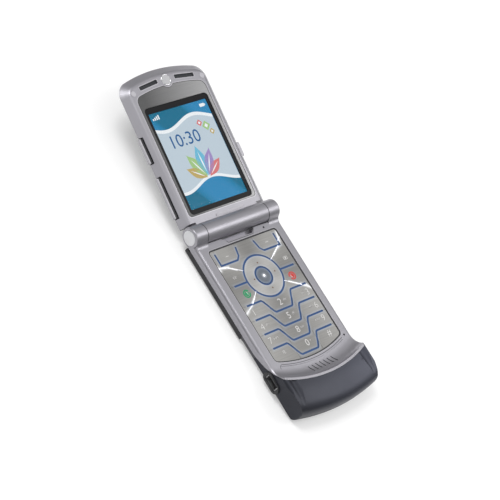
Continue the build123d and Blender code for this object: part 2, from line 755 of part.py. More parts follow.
with BuildPart() as base_front_housing:
    add(base_form.part)
    revolve(seam_profile(), axis=MOUTH, mode=Mode.INTERSECT)
    extrude(block(BASE.offset(split_z), -half_width, half_width, -base_reach, 0), amount=-base_depth,
            mode=Mode.SUBTRACT)
    with BuildPart(mode=Mode.PRIVATE) as core:
        under = mouth_points([(mouth_reach - inwards, height) for inwards, height in core_under])
        with BuildSketch(BASE_SIDE):
            with BuildLine():
                Polyline(*under, (under[-1][0], 2 * lip_z), (under[0][0], 2 * lip_z), close=True)
            make_face()
        revolve(axis=MOUTH)
        extrude(block(BASE.offset(split_z), -core_half, core_half, -base_reach, -end_y),
                amount=3 * lip_z, mode=Mode.INTERSECT)
        add(base_form.part, mode=Mode.INTERSECT)
    add(core.part)
    extrude(block(BASE.offset(split_z), -pocket_half, pocket_half, -pocket_end, -pocket_start),
            amount=-split_z - deck_thick, mode=Mode.SUBTRACT)
    extrude(keypad_plan(BASE.offset(-2 * deck_thick), key_gap), amount=4 * deck_thick, mode=Mode.SUBTRACT)
    # posts for the screws
    with BuildSketch(BASE.offset(split_z + fit_gap)):
        for row in screw_rows:
            with Locations((screw_x, -row), (-screw_x, -row)):
                Circle(boss_r)
    extrude(amount=-split_z - fit_gap - deck_thick)
    with BuildSketch(BASE.offset(split_z)):
        for row in screw_rows:
            with Locations((screw_x, -row), (-screw_x, -row)):
                Circle(screw_r + fit_gap)
    extrude(amount=screw_tip_z + seam_gap - split_z, mode=Mode.SUBTRACT)
    add(knuckle_stock.part)
    mirror(knuckle_stock.part, about=Plane.YZ)
    with BuildSketch(BASE_SIDE):
        Circle(barrel_r + barrel_clear)
        with Locations((-barrel_front + base_depth / 2, -base_depth / 2)):
            Rectangle(base_depth, base_depth)
    extrude(amount=knuckle_in, both=True, mode=Mode.SUBTRACT)
    with BuildSketch(BASE_SIDE.offset(-pin_out - seam_gap)):
        Circle(pin_r + running_gap)
    extrude(amount=pin_out + seam_gap, mode=Mode.SUBTRACT)
    with BuildSketch(BASE_SIDE):
        Circle(cam_nose_r + fit_gap)
    extrude(amount=pin_out + seam_gap, mode=Mode.SUBTRACT)
    for side in (-1, 1):
        with BuildSketch(BASE_SIDE.offset(side * (half_width - cap_thick + cap_proud))):
            Circle(cap_r + fit_gap)
        extrude(amount=side * cap_thick, mode=Mode.SUBTRACT)
    with BuildSketch(BASE.offset(notch_z)):
        with BuildLine():
            Polyline(*notch_points, close=True)
        make_face()
    extrude(amount=-2 * notch_z, mode=Mode.SUBTRACT)
    extrude(disc(BASE.offset(-1.5 * deck_thick), mic_x, -mic_y, mic_r), amount=3 * deck_thick, mode=Mode.SUBTRACT)
    extrude(disc(BASE.offset(-1.5 * deck_thick), sensor_x, -sensor_y, sensor_r), amount=3 * deck_thick,
            mode=Mode.SUBTRACT)
    with BuildSketch(BASE_SIDE.offset(-half_width - 1)):
        with Locations((-port_y, surround_z)):
            SlotOverall(surround_long + 2 * fit_gap, surround_high + 2 * fit_gap)
    extrude(amount=half_width + 1 - surround_in + fit_gap, mode=Mode.SUBTRACT)
    # fine groove around the mouth and slots for the fingertip
    groove = disc(BASE.offset(-groove_deep), 0, -mouth_axis, groove_r + groove_w, groove_r)
    with BuildPart(mode=Mode.PRIVATE) as groove_cut:
        extrude(groove, amount=2 * groove_deep)
        extrude(block(BASE.offset(-1), -groove_half, groove_half, -base_reach, -mouth_axis), amount=2,
                mode=Mode.INTERSECT)
    add(groove_cut.part, mode=Mode.SUBTRACT)
    with BuildSketch(BASE.offset(rib_floor_z)):
        for rib in range(rib_count):
            rib_at = rib_x + (rib - (rib_count - 1) / 2) * rib_pitch
            with Locations(Location((rib_at, -rib_y), 90 + rib_lean)):
                Rectangle(rib_long, rib_w)
    extrude(amount=lip_z, mode=Mode.SUBTRACT)

with BuildPart() as base_rear_housing:
    strip = disc(BASE.offset(back_z), 0, -mouth_axis, seam_low_r - seam_gap)
    extrude(strip, amount=split_z - fit_gap - back_z)
    extrude(block(BASE.offset(back_z), -half_width, half_width, -base_reach, -cover_end - seam_gap),
            amount=base_depth, mode=Mode.INTERSECT)
    add(base_form.part, mode=Mode.INTERSECT)
    extrude(block(BASE.offset(rear_floor_z), -rear_half, rear_half, -rear_pocket_start, -rear_start),
            amount=split_z - fit_gap - rear_floor_z)
    extrude(block(BASE.offset(rear_floor_z), -plateau_half, plateau_half, -plateau_end, -plateau_start),
            amount=plateau_z - rear_floor_z)
    extrude(block(BASE.offset(rear_floor_z), -bay_half, bay_half, -bay_end, -bay_start),
            amount=plateau_z - bay_roof - rear_floor_z, mode=Mode.SUBTRACT)
    with BuildSketch(BASE.offset(rear_floor_z)):
        with Locations((0, -mouth_axis)):
            Circle(rear_pocket_r)
        with Locations((0, -(rear_pocket_start + base_reach) / 2)):
            Rectangle(2 * rear_pocket_half, base_reach - rear_pocket_start, mode=Mode.INTERSECT)
    extrude(amount=base_depth, mode=Mode.SUBTRACT)
    with BuildSketch(BASE.offset(back_z)):
        for slot in range(grille_slots):
            slot_at = -speaker_y + (slot - (grille_slots - 1) / 2) * grille_pitch
            with Locations((speaker_x, slot_at)):
                SlotOverall(2 * speaker_r - grille_pitch * abs(slot - (grille_slots - 1) / 2), grille_w)
    extrude(amount=rear_floor_z - back_z, mode=Mode.SUBTRACT)
    with BuildSketch(BASE.offset(rear_floor_z)):
        for row in screw_rows:
            with Locations((screw_x, -row), (-screw_x, -row)):
                Circle(screw_r + fit_gap)
    extrude(amount=base_depth, mode=Mode.SUBTRACT)
    with BuildSketch(BASE.offset(rear_floor_z)):
        for row in screw_rows:
            with Locations((screw_x, -row), (-screw_x, -row)):
                Circle(screw_head_r + fit_gap)
    extrude(amount=screw_seat_z - rear_floor_z, mode=Mode.SUBTRACT)

with BuildPart() as chin_cover:
    add(base_form.part)
    revolve(seam_profile(seam_gap), axis=MOUTH, mode=Mode.SUBTRACT)
    with BuildPart(mode=Mode.PRIVATE) as chin_hollow:
        extrude(base_plan(BASE.offset(back_z + chin_wall), chin_side_wall), amount=base_depth + lip_z)
        revolve(chin_profile(chin_wall), axis=CHIN, mode=Mode.INTERSECT)
    add(chin_hollow.part, mode=Mode.SUBTRACT)
    for side in (-1, 1):
        flute_points = [BASE.from_local_coords((side * (half_width - edge), end - base_reach, z))
                        for edge, end, z in flute_path]
        with BuildPart(mode=Mode.PRIVATE) as flute:
            with BuildLine() as flute_line:
                Spline(*flute_points)
            with BuildSketch(Plane(origin=flute_line.line @ 0, z_dir=flute_line.line % 0)):
                Circle(flute_r)
            sweep(path=flute_line.line)
        add(flute.part, mode=Mode.SUBTRACT)
    surround_plane = BASE_SIDE.offset(-half_width - 1)
    with BuildSketch(surround_plane):
        with Locations((-port_y, surround_z)):
            SlotOverall(surround_long + 2 * fit_gap, surround_high + 2 * fit_gap)
    extrude(amount=half_width + 1 - surround_in + fit_gap, mode=Mode.SUBTRACT)
    with BuildSketch(surround_plane):
        with Locations((-port_y, port_z)):
            Rectangle(port_long + 2 * (port_shell + fit_gap), port_high + 2 * (port_shell + fit_gap))
    extrude(amount=port_deep, mode=Mode.SUBTRACT)

with BuildPart() as battery_cover:
    with BuildSketch(crosswise(-end_y)):
        with Locations((0, (split_z - seam_gap + back_z) / 2)):
            Rectangle(2 * half_width, split_z - seam_gap - back_z)
    extrude(amount=cover_end - end_y)
    fillet(battery_cover.edges().filter_by(Axis.Y).group_by(Axis.Z)[0], radius=cover_round)
    extrude(block(BASE.offset(rear_floor_z - seam_gap), cover_wall - half_width, half_width - cover_wall,
                  -base_reach, -end_y - cover_wall), amount=base_depth, mode=Mode.SUBTRACT)
    with BuildSketch(BASE_SIDE):
        with Locations((-cover_slide, 0)):
            Circle(cover_swing_r)
    extrude(amount=half_width, both=True, mode=Mode.SUBTRACT)


# ---------------------------------------------------------------- inside the base
with BuildPart() as main_board:
    extrude(block(BASE.offset(board_z), -stack_half, stack_half, -board_end, -stack_start), amount=-board_thick)
    with BuildSketch(BASE.offset(board_z - board_thick)):
        with Locations((0, -connector_y)):
            Rectangle(connector_size[0], connector_size[1])
    extrude(amount=-connector_size[2])
    # metal cans soldered to the underside
    for left, right, near, far in can_boxes:
        extrude(block(BASE.offset(board_z - board_thick), left, right, -cover_end - far, -cover_end - near),
                amount=-can_thick)

with BuildPart() as battery:
    extrude(block(BASE.offset(rear_floor_z + fit_gap), battery_gap - bay_half, bay_half - battery_gap,
                  battery_gap - bay_end, -bay_start - battery_gap),
            amount=plateau_z - bay_roof - rear_floor_z - fit_gap - battery_gap)
    fillet(battery.edges().filter_by(Axis.Z), radius=1.2)

with BuildPart() as loudspeaker:
    extrude(disc(BASE.offset(rear_floor_z + fit_gap), speaker_x, -speaker_y, speaker_r), amount=speaker_thick)
    chamfer(loudspeaker.faces().sort_by(Axis.Z)[-1].edges(), length=0.5)

motor_plane = BASE_SIDE.offset(motor_x + motor_len / 2)
with BuildPart() as vibration_motor:
    with BuildSketch(motor_plane):
        with Locations((-motor_y, motor_z)):
            Circle(motor_r)
    extrude(amount=-motor_len)
    with BuildSketch(motor_plane):
        with Locations((-motor_y, motor_z)):
            Circle(motor_shaft_r)
    extrude(amount=motor_shaft)

with BuildPart() as motor_weight:
    with BuildSketch(motor_plane.offset(motor_shaft - weight_len)):
        with Locations((-motor_y, motor_z)):
            Circle(weight_r)
        with Locations((-motor_y, motor_z + weight_r)):
            Rectangle(2 * weight_r, 2 * weight_r - 1.3 * weight_r, mode=Mode.SUBTRACT)
        with Locations((-motor_y, motor_z)):
            Circle(motor_shaft_r + running_gap, mode=Mode.SUBTRACT)
    extrude(amount=weight_len)

with BuildPart() as antenna_carrier:
    with BuildSketch(BASE_SIDE.offset(-carrier_half)):
        with BuildLine():
            Polyline(*[(end - base_reach, z) for end, z in carrier_side], close=True)
        make_face()
    extrude(amount=2 * carrier_half)

with BuildPart() as microphone:
    extrude(disc(BASE.offset(-deck_thick - fit_gap), mic_x, -mic_y, mic_can_r, mic_r), amount=-mic_can)

with BuildPart() as base_screws:
    for row in screw_rows:
        for side in (-1, 1):
            extrude(disc(BASE.offset(screw_seat_z - screw_head), side * screw_x, -row, screw_head_r),
                    amount=screw_head)
            extrude(disc(BASE.offset(screw_seat_z), side * screw_x, -row, screw_r),
                    amount=screw_tip_z - screw_seat_z)

with BuildPart() as hinge_end_caps:
    for side in (-1, 1):
        with BuildSketch(BASE_SIDE.offset(side * (half_width - cap_thick + cap_proud + fit_gap))):
            Circle(cap_r)
        extrude(amount=side * (cap_thick - fit_gap))

with BuildPart() as hinge_cartridge:
    with BuildSketch(BASE_SIDE.offset(cartridge_in)):
        Circle(cartridge_r)
    extrude(amount=barrel_half - cartridge_in)
    with BuildSketch(BASE_SIDE.offset(barrel_half)):
        Circle(cam_nose_r)
    extrude(amount=pin_out - barrel_half)

with BuildPart() as hinge_stop:
    with BuildSketch(BASE.offset(notch_z + fit_gap)):
        with BuildLine():
            Polyline(*stop_points, close=True)
        make_face()
    extrude(amount=stop_z - notch_z - fit_gap)

with BuildPart() as port_surround:
    with BuildSketch(BASE_SIDE.offset(-half_width - surround_proud)):
        with Locations((-port_y, surround_z)):
            SlotOverall(surround_long, surround_high)
        with Locations((-port_y, port_z)):
            Rectangle(port_long + 2 * (port_shell + fit_gap), port_high + 2 * (port_shell + fit_gap),
                      mode=Mode.SUBTRACT)
    extrude(amount=half_width + surround_proud - surround_in)

with BuildPart() as side_port:
    with BuildSketch(BASE_SIDE.offset(port_recess - half_width - surround_proud)):
        with Locations((-port_y, port_z)):
            Rectangle(port_long + 2 * port_shell, port_high + 2 * port_shell)
    extrude(amount=port_deep)
    with BuildSketch(BASE_SIDE.offset(port_recess - half_width - surround_proud)):
        with Locations((-port_y, port_z)):
            Rectangle(port_long, port_high)
    extrude(amount=port_deep - 2 * port_shell, mode=Mode.SUBTRACT)
    with BuildSketch(BASE_SIDE.offset(port_recess - half_width - surround_proud + port_deep - port_shell)):
        with Locations((-port_y, port_z)):
            Rectangle(tongue_size[1], tongue_size[2])
    extrude(amount=-tongue_size[0])


# ---------------------------------------------------------------- flip shells
def flip_plan(plane):
    """Outline of the flip at its widest line, running down to the hinge axis."""
    corner_drop = flip_top_r - sqrt(flip_top_r**2 - flip_half**2)
    with BuildSketch(plane) as plan:
        with BuildLine():
            Polyline((-flip_half, flip_reach - corner_drop), (-flip_half, 0), (flip_half, 0),
                     (flip_half, flip_reach - corner_drop))
            ThreePointArc((flip_half, flip_reach - corner_drop), (0, flip_reach),
                          (-flip_half, flip_reach - corner_drop))
        make_face()
        fillet(plan.vertices().sort_by(Axis.Y)[-2:], radius=flip_corner)
    return plan.sketch


def arched(plane, half, low, top, top_r, corner, low_corner):
    """Plate outline with a slightly arched top edge."""
    drop = top_r - sqrt(top_r**2 - half**2)
    with BuildSketch(plane) as plan:
        with BuildLine():
            Polyline((-half, top - drop), (-half, low), (half, low), (half, top - drop))
            ThreePointArc((half, top - drop), (0, top), (-half, top - drop))
        make_face()
        fillet(plan.vertices().sort_by(Axis.Y)[-2:], radius=corner)
        fillet(plan.vertices().sort_by(Axis.Y)[:2], radius=low_corner)
    return plan.sketch


def rounded(plane, half, low, top, corner):
    """Centred rectangle with rounded corners."""
    with BuildSketch(plane) as plan:
        with Locations((0, (low + top) / 2)):
            RectangleRounded(2 * half, top - low, corner)
    return plan.sketch


def key_notches(depth_in, top_z, low_z, margin):
    """Boxes at the side keys, from a depth outwards: used for notches."""
    with BuildPart() as notches:
        for side, low, high in ((-1, smart_low, smart_high), (-1, rocker_low, rocker_high),
                                (1, voice_low, voice_high)):
            left, right = sorted((side * depth_in, side * (flip_half + 2)))
            extrude(block(FLIP.offset(low_z), left, right, low - margin, high + margin), amount=top_z - low_z)
    return notches.part


hollow_r = flip_top_r - flip_reach + hollow_top
earpiece_slots = [(side, Location((side * slot_x, slot_y), -side * slot_lean)) for side in (-1, 1)]

with BuildPart() as flip_inner_housing:
    extrude(flip_plan(FLIP.offset(flip_split_z)), amount=flip_inner_z - flip_split_z, taper=flip_front_taper)
    face = flip_inner_housing.faces().sort_by(Axis(FLIP.origin, FLIP.z_dir))[-1]
    fillet(face.edges().filter_by(lambda edge: FLIP.to_local_coords(edge.center()).Y > flip_root),
           radius=flip_edge_round)
    with BuildSketch(FLIP_SIDE):
        with Locations((0, 0)):
            Rectangle(2 * flip_root, 4 * barrel_r)
    extrude(amount=2 * half_width, both=True, mode=Mode.SUBTRACT)
    with BuildSketch(FLIP_SIDE):
        Circle(root_clear_r)
    extrude(amount=2 * half_width, both=True, mode=Mode.SUBTRACT)
    # barrel and the web that joins it to the slab
    with BuildSketch(FLIP_SIDE):
        Circle(barrel_r)
        with BuildLine():
            Polyline((0, flip_inner_z), (root_clear_r + 1, flip_inner_z), (root_clear_r + 1, flip_split_z),
                     (0, flip_split_z), close=True)
        make_face()
    extrude(amount=barrel_half, both=True)
    extrude(arched(FLIP.offset(flip_split_z), hollow_half, hollow_low, hollow_top, hollow_r, 2.5, 1.5),
            amount=flip_inner_z - flip_front_thick - flip_split_z, mode=Mode.SUBTRACT)
    # recess for the display surround, leaving a lobe for the polished disc
    with BuildSketch(FLIP.offset(frame_z - frame_thick - fit_gap)):
        add(FLIP.offset(frame_z - frame_thick - fit_gap).to_local_coords(
            arched(FLIP.offset(frame_z - frame_thick - fit_gap), frame_half + fit_gap, frame_low - fit_gap,
                   frame_top + fit_gap, frame_top_r, frame_corner, frame_low_corner)))
        with Locations((0, badge_y)):
            Circle(badge_r + badge_ring, mode=Mode.SUBTRACT)
    extrude(amount=2, mode=Mode.SUBTRACT)
    extrude(rounded(FLIP.offset(flip_split_z), bezel_half + fit_gap, bezel_low - fit_gap, bezel_top + fit_gap,
                    bezel_corner), amount=4, mode=Mode.SUBTRACT)
    extrude(disc(FLIP.offset(flip_inner_z + badge_proud - badge_thick - fit_gap), 0, badge_y, badge_r + fit_gap),
            amount=2, mode=Mode.SUBTRACT)
    for side, place in earpiece_slots:
        with BuildSketch(FLIP.offset(flip_split_z)):
            with Locations(place):
                RectangleRounded(slot_long, slot_high, slot_round)
        extrude(amount=4, mode=Mode.SUBTRACT)
    for side in (-1, 1):
        extrude(disc(FLIP.offset(flip_inner_z - bumper_deep - fit_gap), side * bumper_x, bumper_y,
                     bumper_r + fit_gap), amount=2, mode=Mode.SUBTRACT)
    # bores for pin, flex cable and cartridge
    with BuildSketch(FLIP_SIDE.offset(-barrel_half)):
        Circle(pin_r + fit_gap)
    extrude(amount=barrel_half, mode=Mode.SUBTRACT)
    with BuildSketch(FLIP_SIDE.offset(-pin_in + fit_gap)):
        Circle(cartridge_r + running_gap)
    extrude(amount=barrel_half + pin_in, mode=Mode.SUBTRACT)
    add(key_notches(side_notch_in, side_notch_top, side_notch_low, side_key_end), mode=Mode.SUBTRACT)

with BuildPart() as flip_outer_cover:
    outer_plane = Plane(origin=FLIP.from_local_coords((0, 0, flip_split_z - fit_gap)), x_dir=FLIP.x_dir,
                        z_dir=-FLIP.z_dir)
    with BuildSketch(outer_plane) as outer_plan:
        add(FLIP.offset(flip_split_z - fit_gap).to_local_coords(flip_plan(FLIP.offset(flip_split_z - fit_gap))))
        mirror(about=Plane.XZ, mode=Mode.REPLACE)
    extrude(amount=flip_split_z - fit_gap - flip_outer_z, taper=flip_back_taper)
    skin = flip_outer_cover.faces().sort_by(Axis(FLIP.origin, FLIP.z_dir))[0]
    fillet(skin.edges().filter_by(lambda edge: FLIP.to_local_coords(edge.center()).Y > flip_root + 1),
           radius=flip_edge_round)
    # root: open below the barrel, scooped beside it
    with BuildSketch(FLIP_SIDE):
        with Locations((outer_root - 2 * barrel_r, 0)):
            Rectangle(4 * barrel_r, 4 * barrel_r)
        Circle(barrel_r + fit_gap)
        with BuildLine():
            web_start = (-barrel_r * sin(radians(outer_root_angle)), -barrel_r * cos(radians(outer_root_angle)))
            web_reach = 14
            web_end = (web_start[0] + web_reach * cos(radians(outer_root_angle)),
                       web_start[1] - web_reach * sin(radians(outer_root_angle)))
            Polyline(web_start, web_end, (web_end[0], -20), (web_start[0], -20), close=True)
        make_face()
    extrude(amount=2 * half_width, both=True, mode=Mode.SUBTRACT)
    for side in (-1, 1):
        with BuildSketch(FLIP_SIDE.offset(side * barrel_half)):
            Circle(root_clear_r)
            with Locations((flip_root - 2 * barrel_r, 0)):
                Rectangle(4 * barrel_r, 4 * barrel_r)
        extrude(amount=side * half_width, mode=Mode.SUBTRACT)
    extrude(arched(FLIP.offset(flip_outer_z + flip_back_thick), hollow_half, hollow_low, hollow_top, hollow_r,
                   2.5, 1.5), amount=4, mode=Mode.SUBTRACT)
    extrude(rounded(FLIP.offset(flip_outer_z - 1), lens_half + fit_gap, lens_low - fit_gap, lens_top + fit_gap,
                    lens_corner), amount=4, mode=Mode.SUBTRACT)
    extrude(disc(FLIP.offset(flip_outer_z - 1), 0, camera_y, camera_ring_r + fit_gap), amount=4,
            mode=Mode.SUBTRACT)
    add(key_notches(side_notch_in, side_notch_top, side_notch_low, side_key_end), mode=Mode.SUBTRACT)


# ---------------------------------------------------------------- display
with BuildPart() as display_surround:
    frame_plane = FLIP.offset(frame_z - frame_thick)
    with BuildSketch(frame_plane):
        add(frame_plane.to_local_coords(
            arched(frame_plane, frame_half, frame_low, frame_top, frame_top_r, frame_corner, frame_low_corner)))
        add(frame_plane.to_local_coords(
            rounded(frame_plane, bezel_half + fit_gap, bezel_low - fit_gap, bezel_top + fit_gap, bezel_corner)),
            mode=Mode.SUBTRACT)
        with Locations((0, badge_y)):
            Circle(badge_r + badge_ring + seam_gap, mode=Mode.SUBTRACT)
    extrude(amount=frame_thick)

with BuildPart() as display_bezel:
    extrude(rounded(FLIP.offset(bezel_z), bezel_half, bezel_low, bezel_top, bezel_corner), amount=-bezel_thick)
    extrude(rounded(FLIP.offset(bezel_z), screen_half, screen_low, screen_top, 0.4), amount=-2 * bezel_thick,
            mode=Mode.SUBTRACT)

with BuildPart() as main_display:
    extrude(rounded(FLIP.offset(panel_z), screen_half + panel_margin, screen_low - panel_margin,
                    screen_top + panel_margin, 0.6), amount=-panel_thick)

with BuildPart() as flip_board:
    extrude(rounded(FLIP.offset(flip_board_z), flip_board_half, flip_board_low, flip_board_top, 1.0),
            amount=-flip_board_thick)

lens_back = flip_outer_z + lens_sunk + lens_thick
with BuildPart() as outer_lens:
    extrude(rounded(FLIP.offset(lens_back), lens_half, lens_low, lens_top, lens_corner), amount=-lens_thick)
    extrude(disc(FLIP.offset(flip_outer_z + camera_ring_deep), 0, camera_y, camera_r - fit_gap),
            amount=-camera_glass)

with BuildPart() as outer_display:
    extrude(rounded(FLIP.offset(lens_back + fit_gap), lens_half - sub_panel_margin, lens_low + sub_panel_margin,
                    lens_top - sub_panel_margin, 0.8), amount=sub_panel_thick)

# camera in the outer cover
ring_back = flip_outer_z + camera_ring_deep
with BuildPart() as camera_ring:
    extrude(disc(FLIP.offset(flip_outer_z), 0, camera_y, camera_ring_r, camera_r), amount=camera_ring_deep)

with BuildPart() as camera_module:
    module_back = ring_back + fit_gap
    extrude(rounded(FLIP.offset(module_back), camera_body / 2, camera_y - camera_body / 2,
                    camera_y + camera_body / 2, 0.6), amount=flip_board_z - flip_board_thick - fit_gap - module_back)

# earpiece, grilles, disc, bumpers
with BuildPart() as earpiece:
    extrude(rounded(FLIP.offset(earpiece_z), earpiece_long / 2, earpiece_y - earpiece_high / 2,
                    earpiece_y + earpiece_high / 2, 1.2), amount=-earpiece_thick)

with BuildPart() as earpiece_grilles:
    for side, place in earpiece_slots:
        with BuildSketch(FLIP.offset(grille_z - grille_thick)):
            with Locations(place):
                RectangleRounded(slot_long - 2 * fit_gap, slot_high - 2 * fit_gap, slot_round - fit_gap)
        extrude(amount=grille_thick)

with BuildPart() as badge_disc:
    extrude(disc(FLIP.offset(flip_inner_z + badge_proud), 0, badge_y, badge_r), amount=-badge_thick)
    rim = badge_disc.edges().group_by(Axis(FLIP.origin, FLIP.z_dir))[-1]
    fillet(rim, radius=0.2)

with BuildPart() as flip_bumpers:
    for side in (-1, 1):
        extrude(disc(FLIP.offset(flip_inner_z + bumper_proud), side * bumper_x, bumper_y, bumper_r),
                amount=-bumper_deep - bumper_proud)
    extrude(block(FLIP.offset(flip_inner_z), -pad_left, pad_right, pad_low, pad_high), amount=pad_proud)

# hinge pieces that turn with the flip
with BuildPart() as hinge_pin:
    with BuildSketch(FLIP_SIDE.offset(-pin_out)):
        Circle(pin_r)
    extrude(amount=pin_out - pin_in)

with BuildPart() as hinge_flex:
    with BuildSketch(FLIP_SIDE.offset(-flex_half)):
        Circle(flex_r)
        Circle(flex_r - flex_wall, mode=Mode.SUBTRACT)
    extrude(amount=2 * flex_half)


def side_key(side, low, high):
    """Key bar in the flip's side wall, rounded along its outer face."""
    left, right = sorted((side * side_key_in, side * side_key_out))
    with BuildPart() as bar:
        extrude(block(FLIP.offset(side_key_low), left, right, low, high), amount=side_key_top - side_key_low)
        outer = bar.edges().filter_by(Axis((0, 0, 0), FLIP.z_dir)).sort_by(Axis.X)
        fillet(outer[:2] if side < 0 else outer[-2:], radius=0.9)
        long_edges = bar.faces().sort_by(Axis.X)[0 if side < 0 else -1].edges()
        fillet(long_edges.filter_by(Axis((0, 0, 0), FLIP.y_dir)), radius=0.35)
    return bar


smart_key = side_key(-1, smart_low, smart_high)
volume_rocker = side_key(-1, rocker_low, rocker_high)
voice_key = side_key(1, voice_low, voice_high)

pieces = dict(keys)
pieces.update(
    keypad_plate=keypad_plate, nav_actuator=nav_actuator, key_light_pad=key_light_pad, dome_sheet=dome_sheet,
    base_front_housing=base_front_housing, base_rear_housing=base_rear_housing, chin_cover=chin_cover,
    battery_cover=battery_cover, main_board=main_board, battery=battery,
    loudspeaker=loudspeaker, vibration_motor=vibration_motor, motor_weight=motor_weight,
    antenna_carrier=antenna_carrier, microphone=microphone, base_screws=base_screws,
    hinge_end_caps=hinge_end_caps, hinge_cartridge=hinge_cartridge, hinge_stop=hinge_stop,
    port_surround=port_surround, side_port=side_port, flip_inner_housing=flip_inner_housing,
    flip_outer_cover=flip_outer_cover, display_surround=display_surround, display_bezel=display_bezel,
    main_display=main_display, flip_board=flip_board, outer_lens=outer_lens, outer_display=outer_display,
    camera_ring=camera_ring, camera_module=camera_module, earpiece=earpiece,
    earpiece_grilles=earpiece_grilles, badge_disc=badge_disc, flip_bumpers=flip_bumpers,
    hinge_pin=hinge_pin, hinge_flex=hinge_flex, smart_key=smart_key, volume_rocker=volume_rocker,
    voice_key=voice_key)
os.makedirs("parts", exist_ok=True)
for piece_name, piece in pieces.items():
    piece.part.label = piece_name
    export_step(piece.part, f"parts/{piece_name}.step")
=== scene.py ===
"""Looks of a clamshell mobile phone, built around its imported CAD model.

Two frames are used, both in millimetres with the hinge axis at the origin:
the base frame, level, with y towards the flip, and the flip frame, which is
the base frame turned up by the angle at which the open flip rests.
"""
import json
import logging
import math
from collections.abc import Callable
from dataclasses import dataclass, field
from enum import Enum
from functools import partial, reduce
from typing import ClassVar

import bmesh
import bpy
import numpy as np
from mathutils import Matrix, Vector


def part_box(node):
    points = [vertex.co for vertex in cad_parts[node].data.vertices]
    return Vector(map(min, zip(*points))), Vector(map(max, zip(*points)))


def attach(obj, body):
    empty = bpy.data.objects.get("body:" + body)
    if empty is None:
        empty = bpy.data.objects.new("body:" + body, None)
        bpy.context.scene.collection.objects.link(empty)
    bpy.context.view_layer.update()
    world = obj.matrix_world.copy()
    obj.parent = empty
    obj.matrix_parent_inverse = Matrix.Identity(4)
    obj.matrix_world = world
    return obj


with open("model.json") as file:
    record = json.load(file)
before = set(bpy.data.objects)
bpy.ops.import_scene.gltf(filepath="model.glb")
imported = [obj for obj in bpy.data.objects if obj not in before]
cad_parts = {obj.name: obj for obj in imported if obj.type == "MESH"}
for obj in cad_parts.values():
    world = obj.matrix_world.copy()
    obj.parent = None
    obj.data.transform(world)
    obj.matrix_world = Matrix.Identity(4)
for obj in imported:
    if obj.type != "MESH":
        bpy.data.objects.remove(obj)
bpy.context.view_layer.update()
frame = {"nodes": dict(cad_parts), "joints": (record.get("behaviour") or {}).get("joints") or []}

log = logging.getLogger("phone")

Colour = tuple[float, float, float]
Pair = tuple[float, float]
Place = tuple[float, float, float]
# Width, height and corner radius of a rounded box.
Box = tuple[float, float, float]
# Vertices and faces.
Solid = tuple[np.ndarray, list]
Labels = tuple[str, ...]

MM = 0.001
HINGE_JOINT = next(joint for joint in frame["joints"] if joint["name"] == "flip_hinge")
HINGE = np.array(HINGE_JOINT["pos_m"]) / MM
# The flip rests open by this angle over the base, and folds flat onto it.
OPEN_RISE = math.radians(180.0 - HINGE_JOINT["range_deg"][1])
# Heights over the hinge axis: the tops of the keys and the inner face of the flip.
KEY_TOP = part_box("key_5")[1].z / MM - HINGE[2]
FLIP_FACE = -0.3
# How far print reaches into what it lies on.
SINK = 0.004
# Distance in metres within which vertices are merged.
MERGE = 1e-7


class Half(Enum):
    """The two halves of the phone, each with its body and the angle of its frame."""

    BASE = ("base", 0.0)
    FLIP = ("flip", OPEN_RISE)

    def __init__(self, body: str, rise: float) -> None:
        """Names the two values."""
        self.body = body
        self.rise = rise


class Grain(Enum):
    """Kinds of fine surface structure."""

    SPECKLE = "speckle"
    BRUSHED_ACROSS = "brushed across"
    BRUSHED_ALONG = "brushed along"


# ---------------------------------------------------------------- outlines


def set_down(points: np.ndarray, centre: Pair, lean: float) -> np.ndarray:
    """Turns rows of x, y by lean degrees about the origin and moves them to a centre."""
    c, s = math.cos(math.radians(lean)), math.sin(math.radians(lean))
    return points @ np.array([[c, s], [-s, c]]) + np.array(centre)


def arc(centre: Pair, radius: float, start: float, end: float, count: int) -> np.ndarray:
    """Points (cx + r cos t, cy + r sin t) for t from start to end, in radians."""
    t = np.linspace(start, end, count)
    return np.column_stack([np.cos(t), np.sin(t)]) * radius + np.array(centre)


def stadium(centre: Pair, length: float, height: float, count: int = 40) -> np.ndarray:
    """Outline of a slot: (h/2) (cos t, sin t) with its two halves moved apart.

    Args:
        centre: its middle.
        length: from end to end.
        height: h, across.
        count: how many points.

    Returns:
        Rows of x, y.
    """
    t = np.linspace(0, 2 * np.pi, count, endpoint=False) + np.pi / count
    x = height / 2 * np.cos(t) + (length - height) / 2 * np.sign(np.cos(t))
    return np.column_stack([x, height / 2 * np.sin(t)]) + np.array(centre)


def rounded_box(centre: Pair, width: float, height: float, corner: float, lean: float = 0.0) -> np.ndarray:
    """Outline of a rectangle, turned by lean degrees, with round corners of eight points each.

    Args:
        centre: its middle.
        width: size along x before the turn.
        height: size along y before the turn.
        corner: corner radius.
        lean: turn in degrees.

    Returns:
        Rows of x, y.
    """
    t = np.linspace(0, np.pi / 2, 8) + np.arange(4)[:, None] * np.pi / 2
    signs = np.array([(1, 1), (-1, 1), (-1, -1), (1, -1)])
    middles = signs * (width / 2 - corner, height / 2 - corner)
    loop = middles[:, None] + corner * np.stack([np.cos(t), np.sin(t)], axis=-1)
    return set_down(loop.reshape(-1, 2), centre, lean)


def petal(centre: Pair, length: float, width: float, lean: float) -> np.ndarray:
    """Pointed leaf outline: x = L/2 cos t, y = W/2 sin^3 t, turned by lean degrees."""
    t = np.linspace(0, 2 * np.pi, 40, endpoint=False)
    return set_down(np.column_stack([length / 2 * np.cos(t), width / 2 * np.sin(t)**3]), centre, lean)


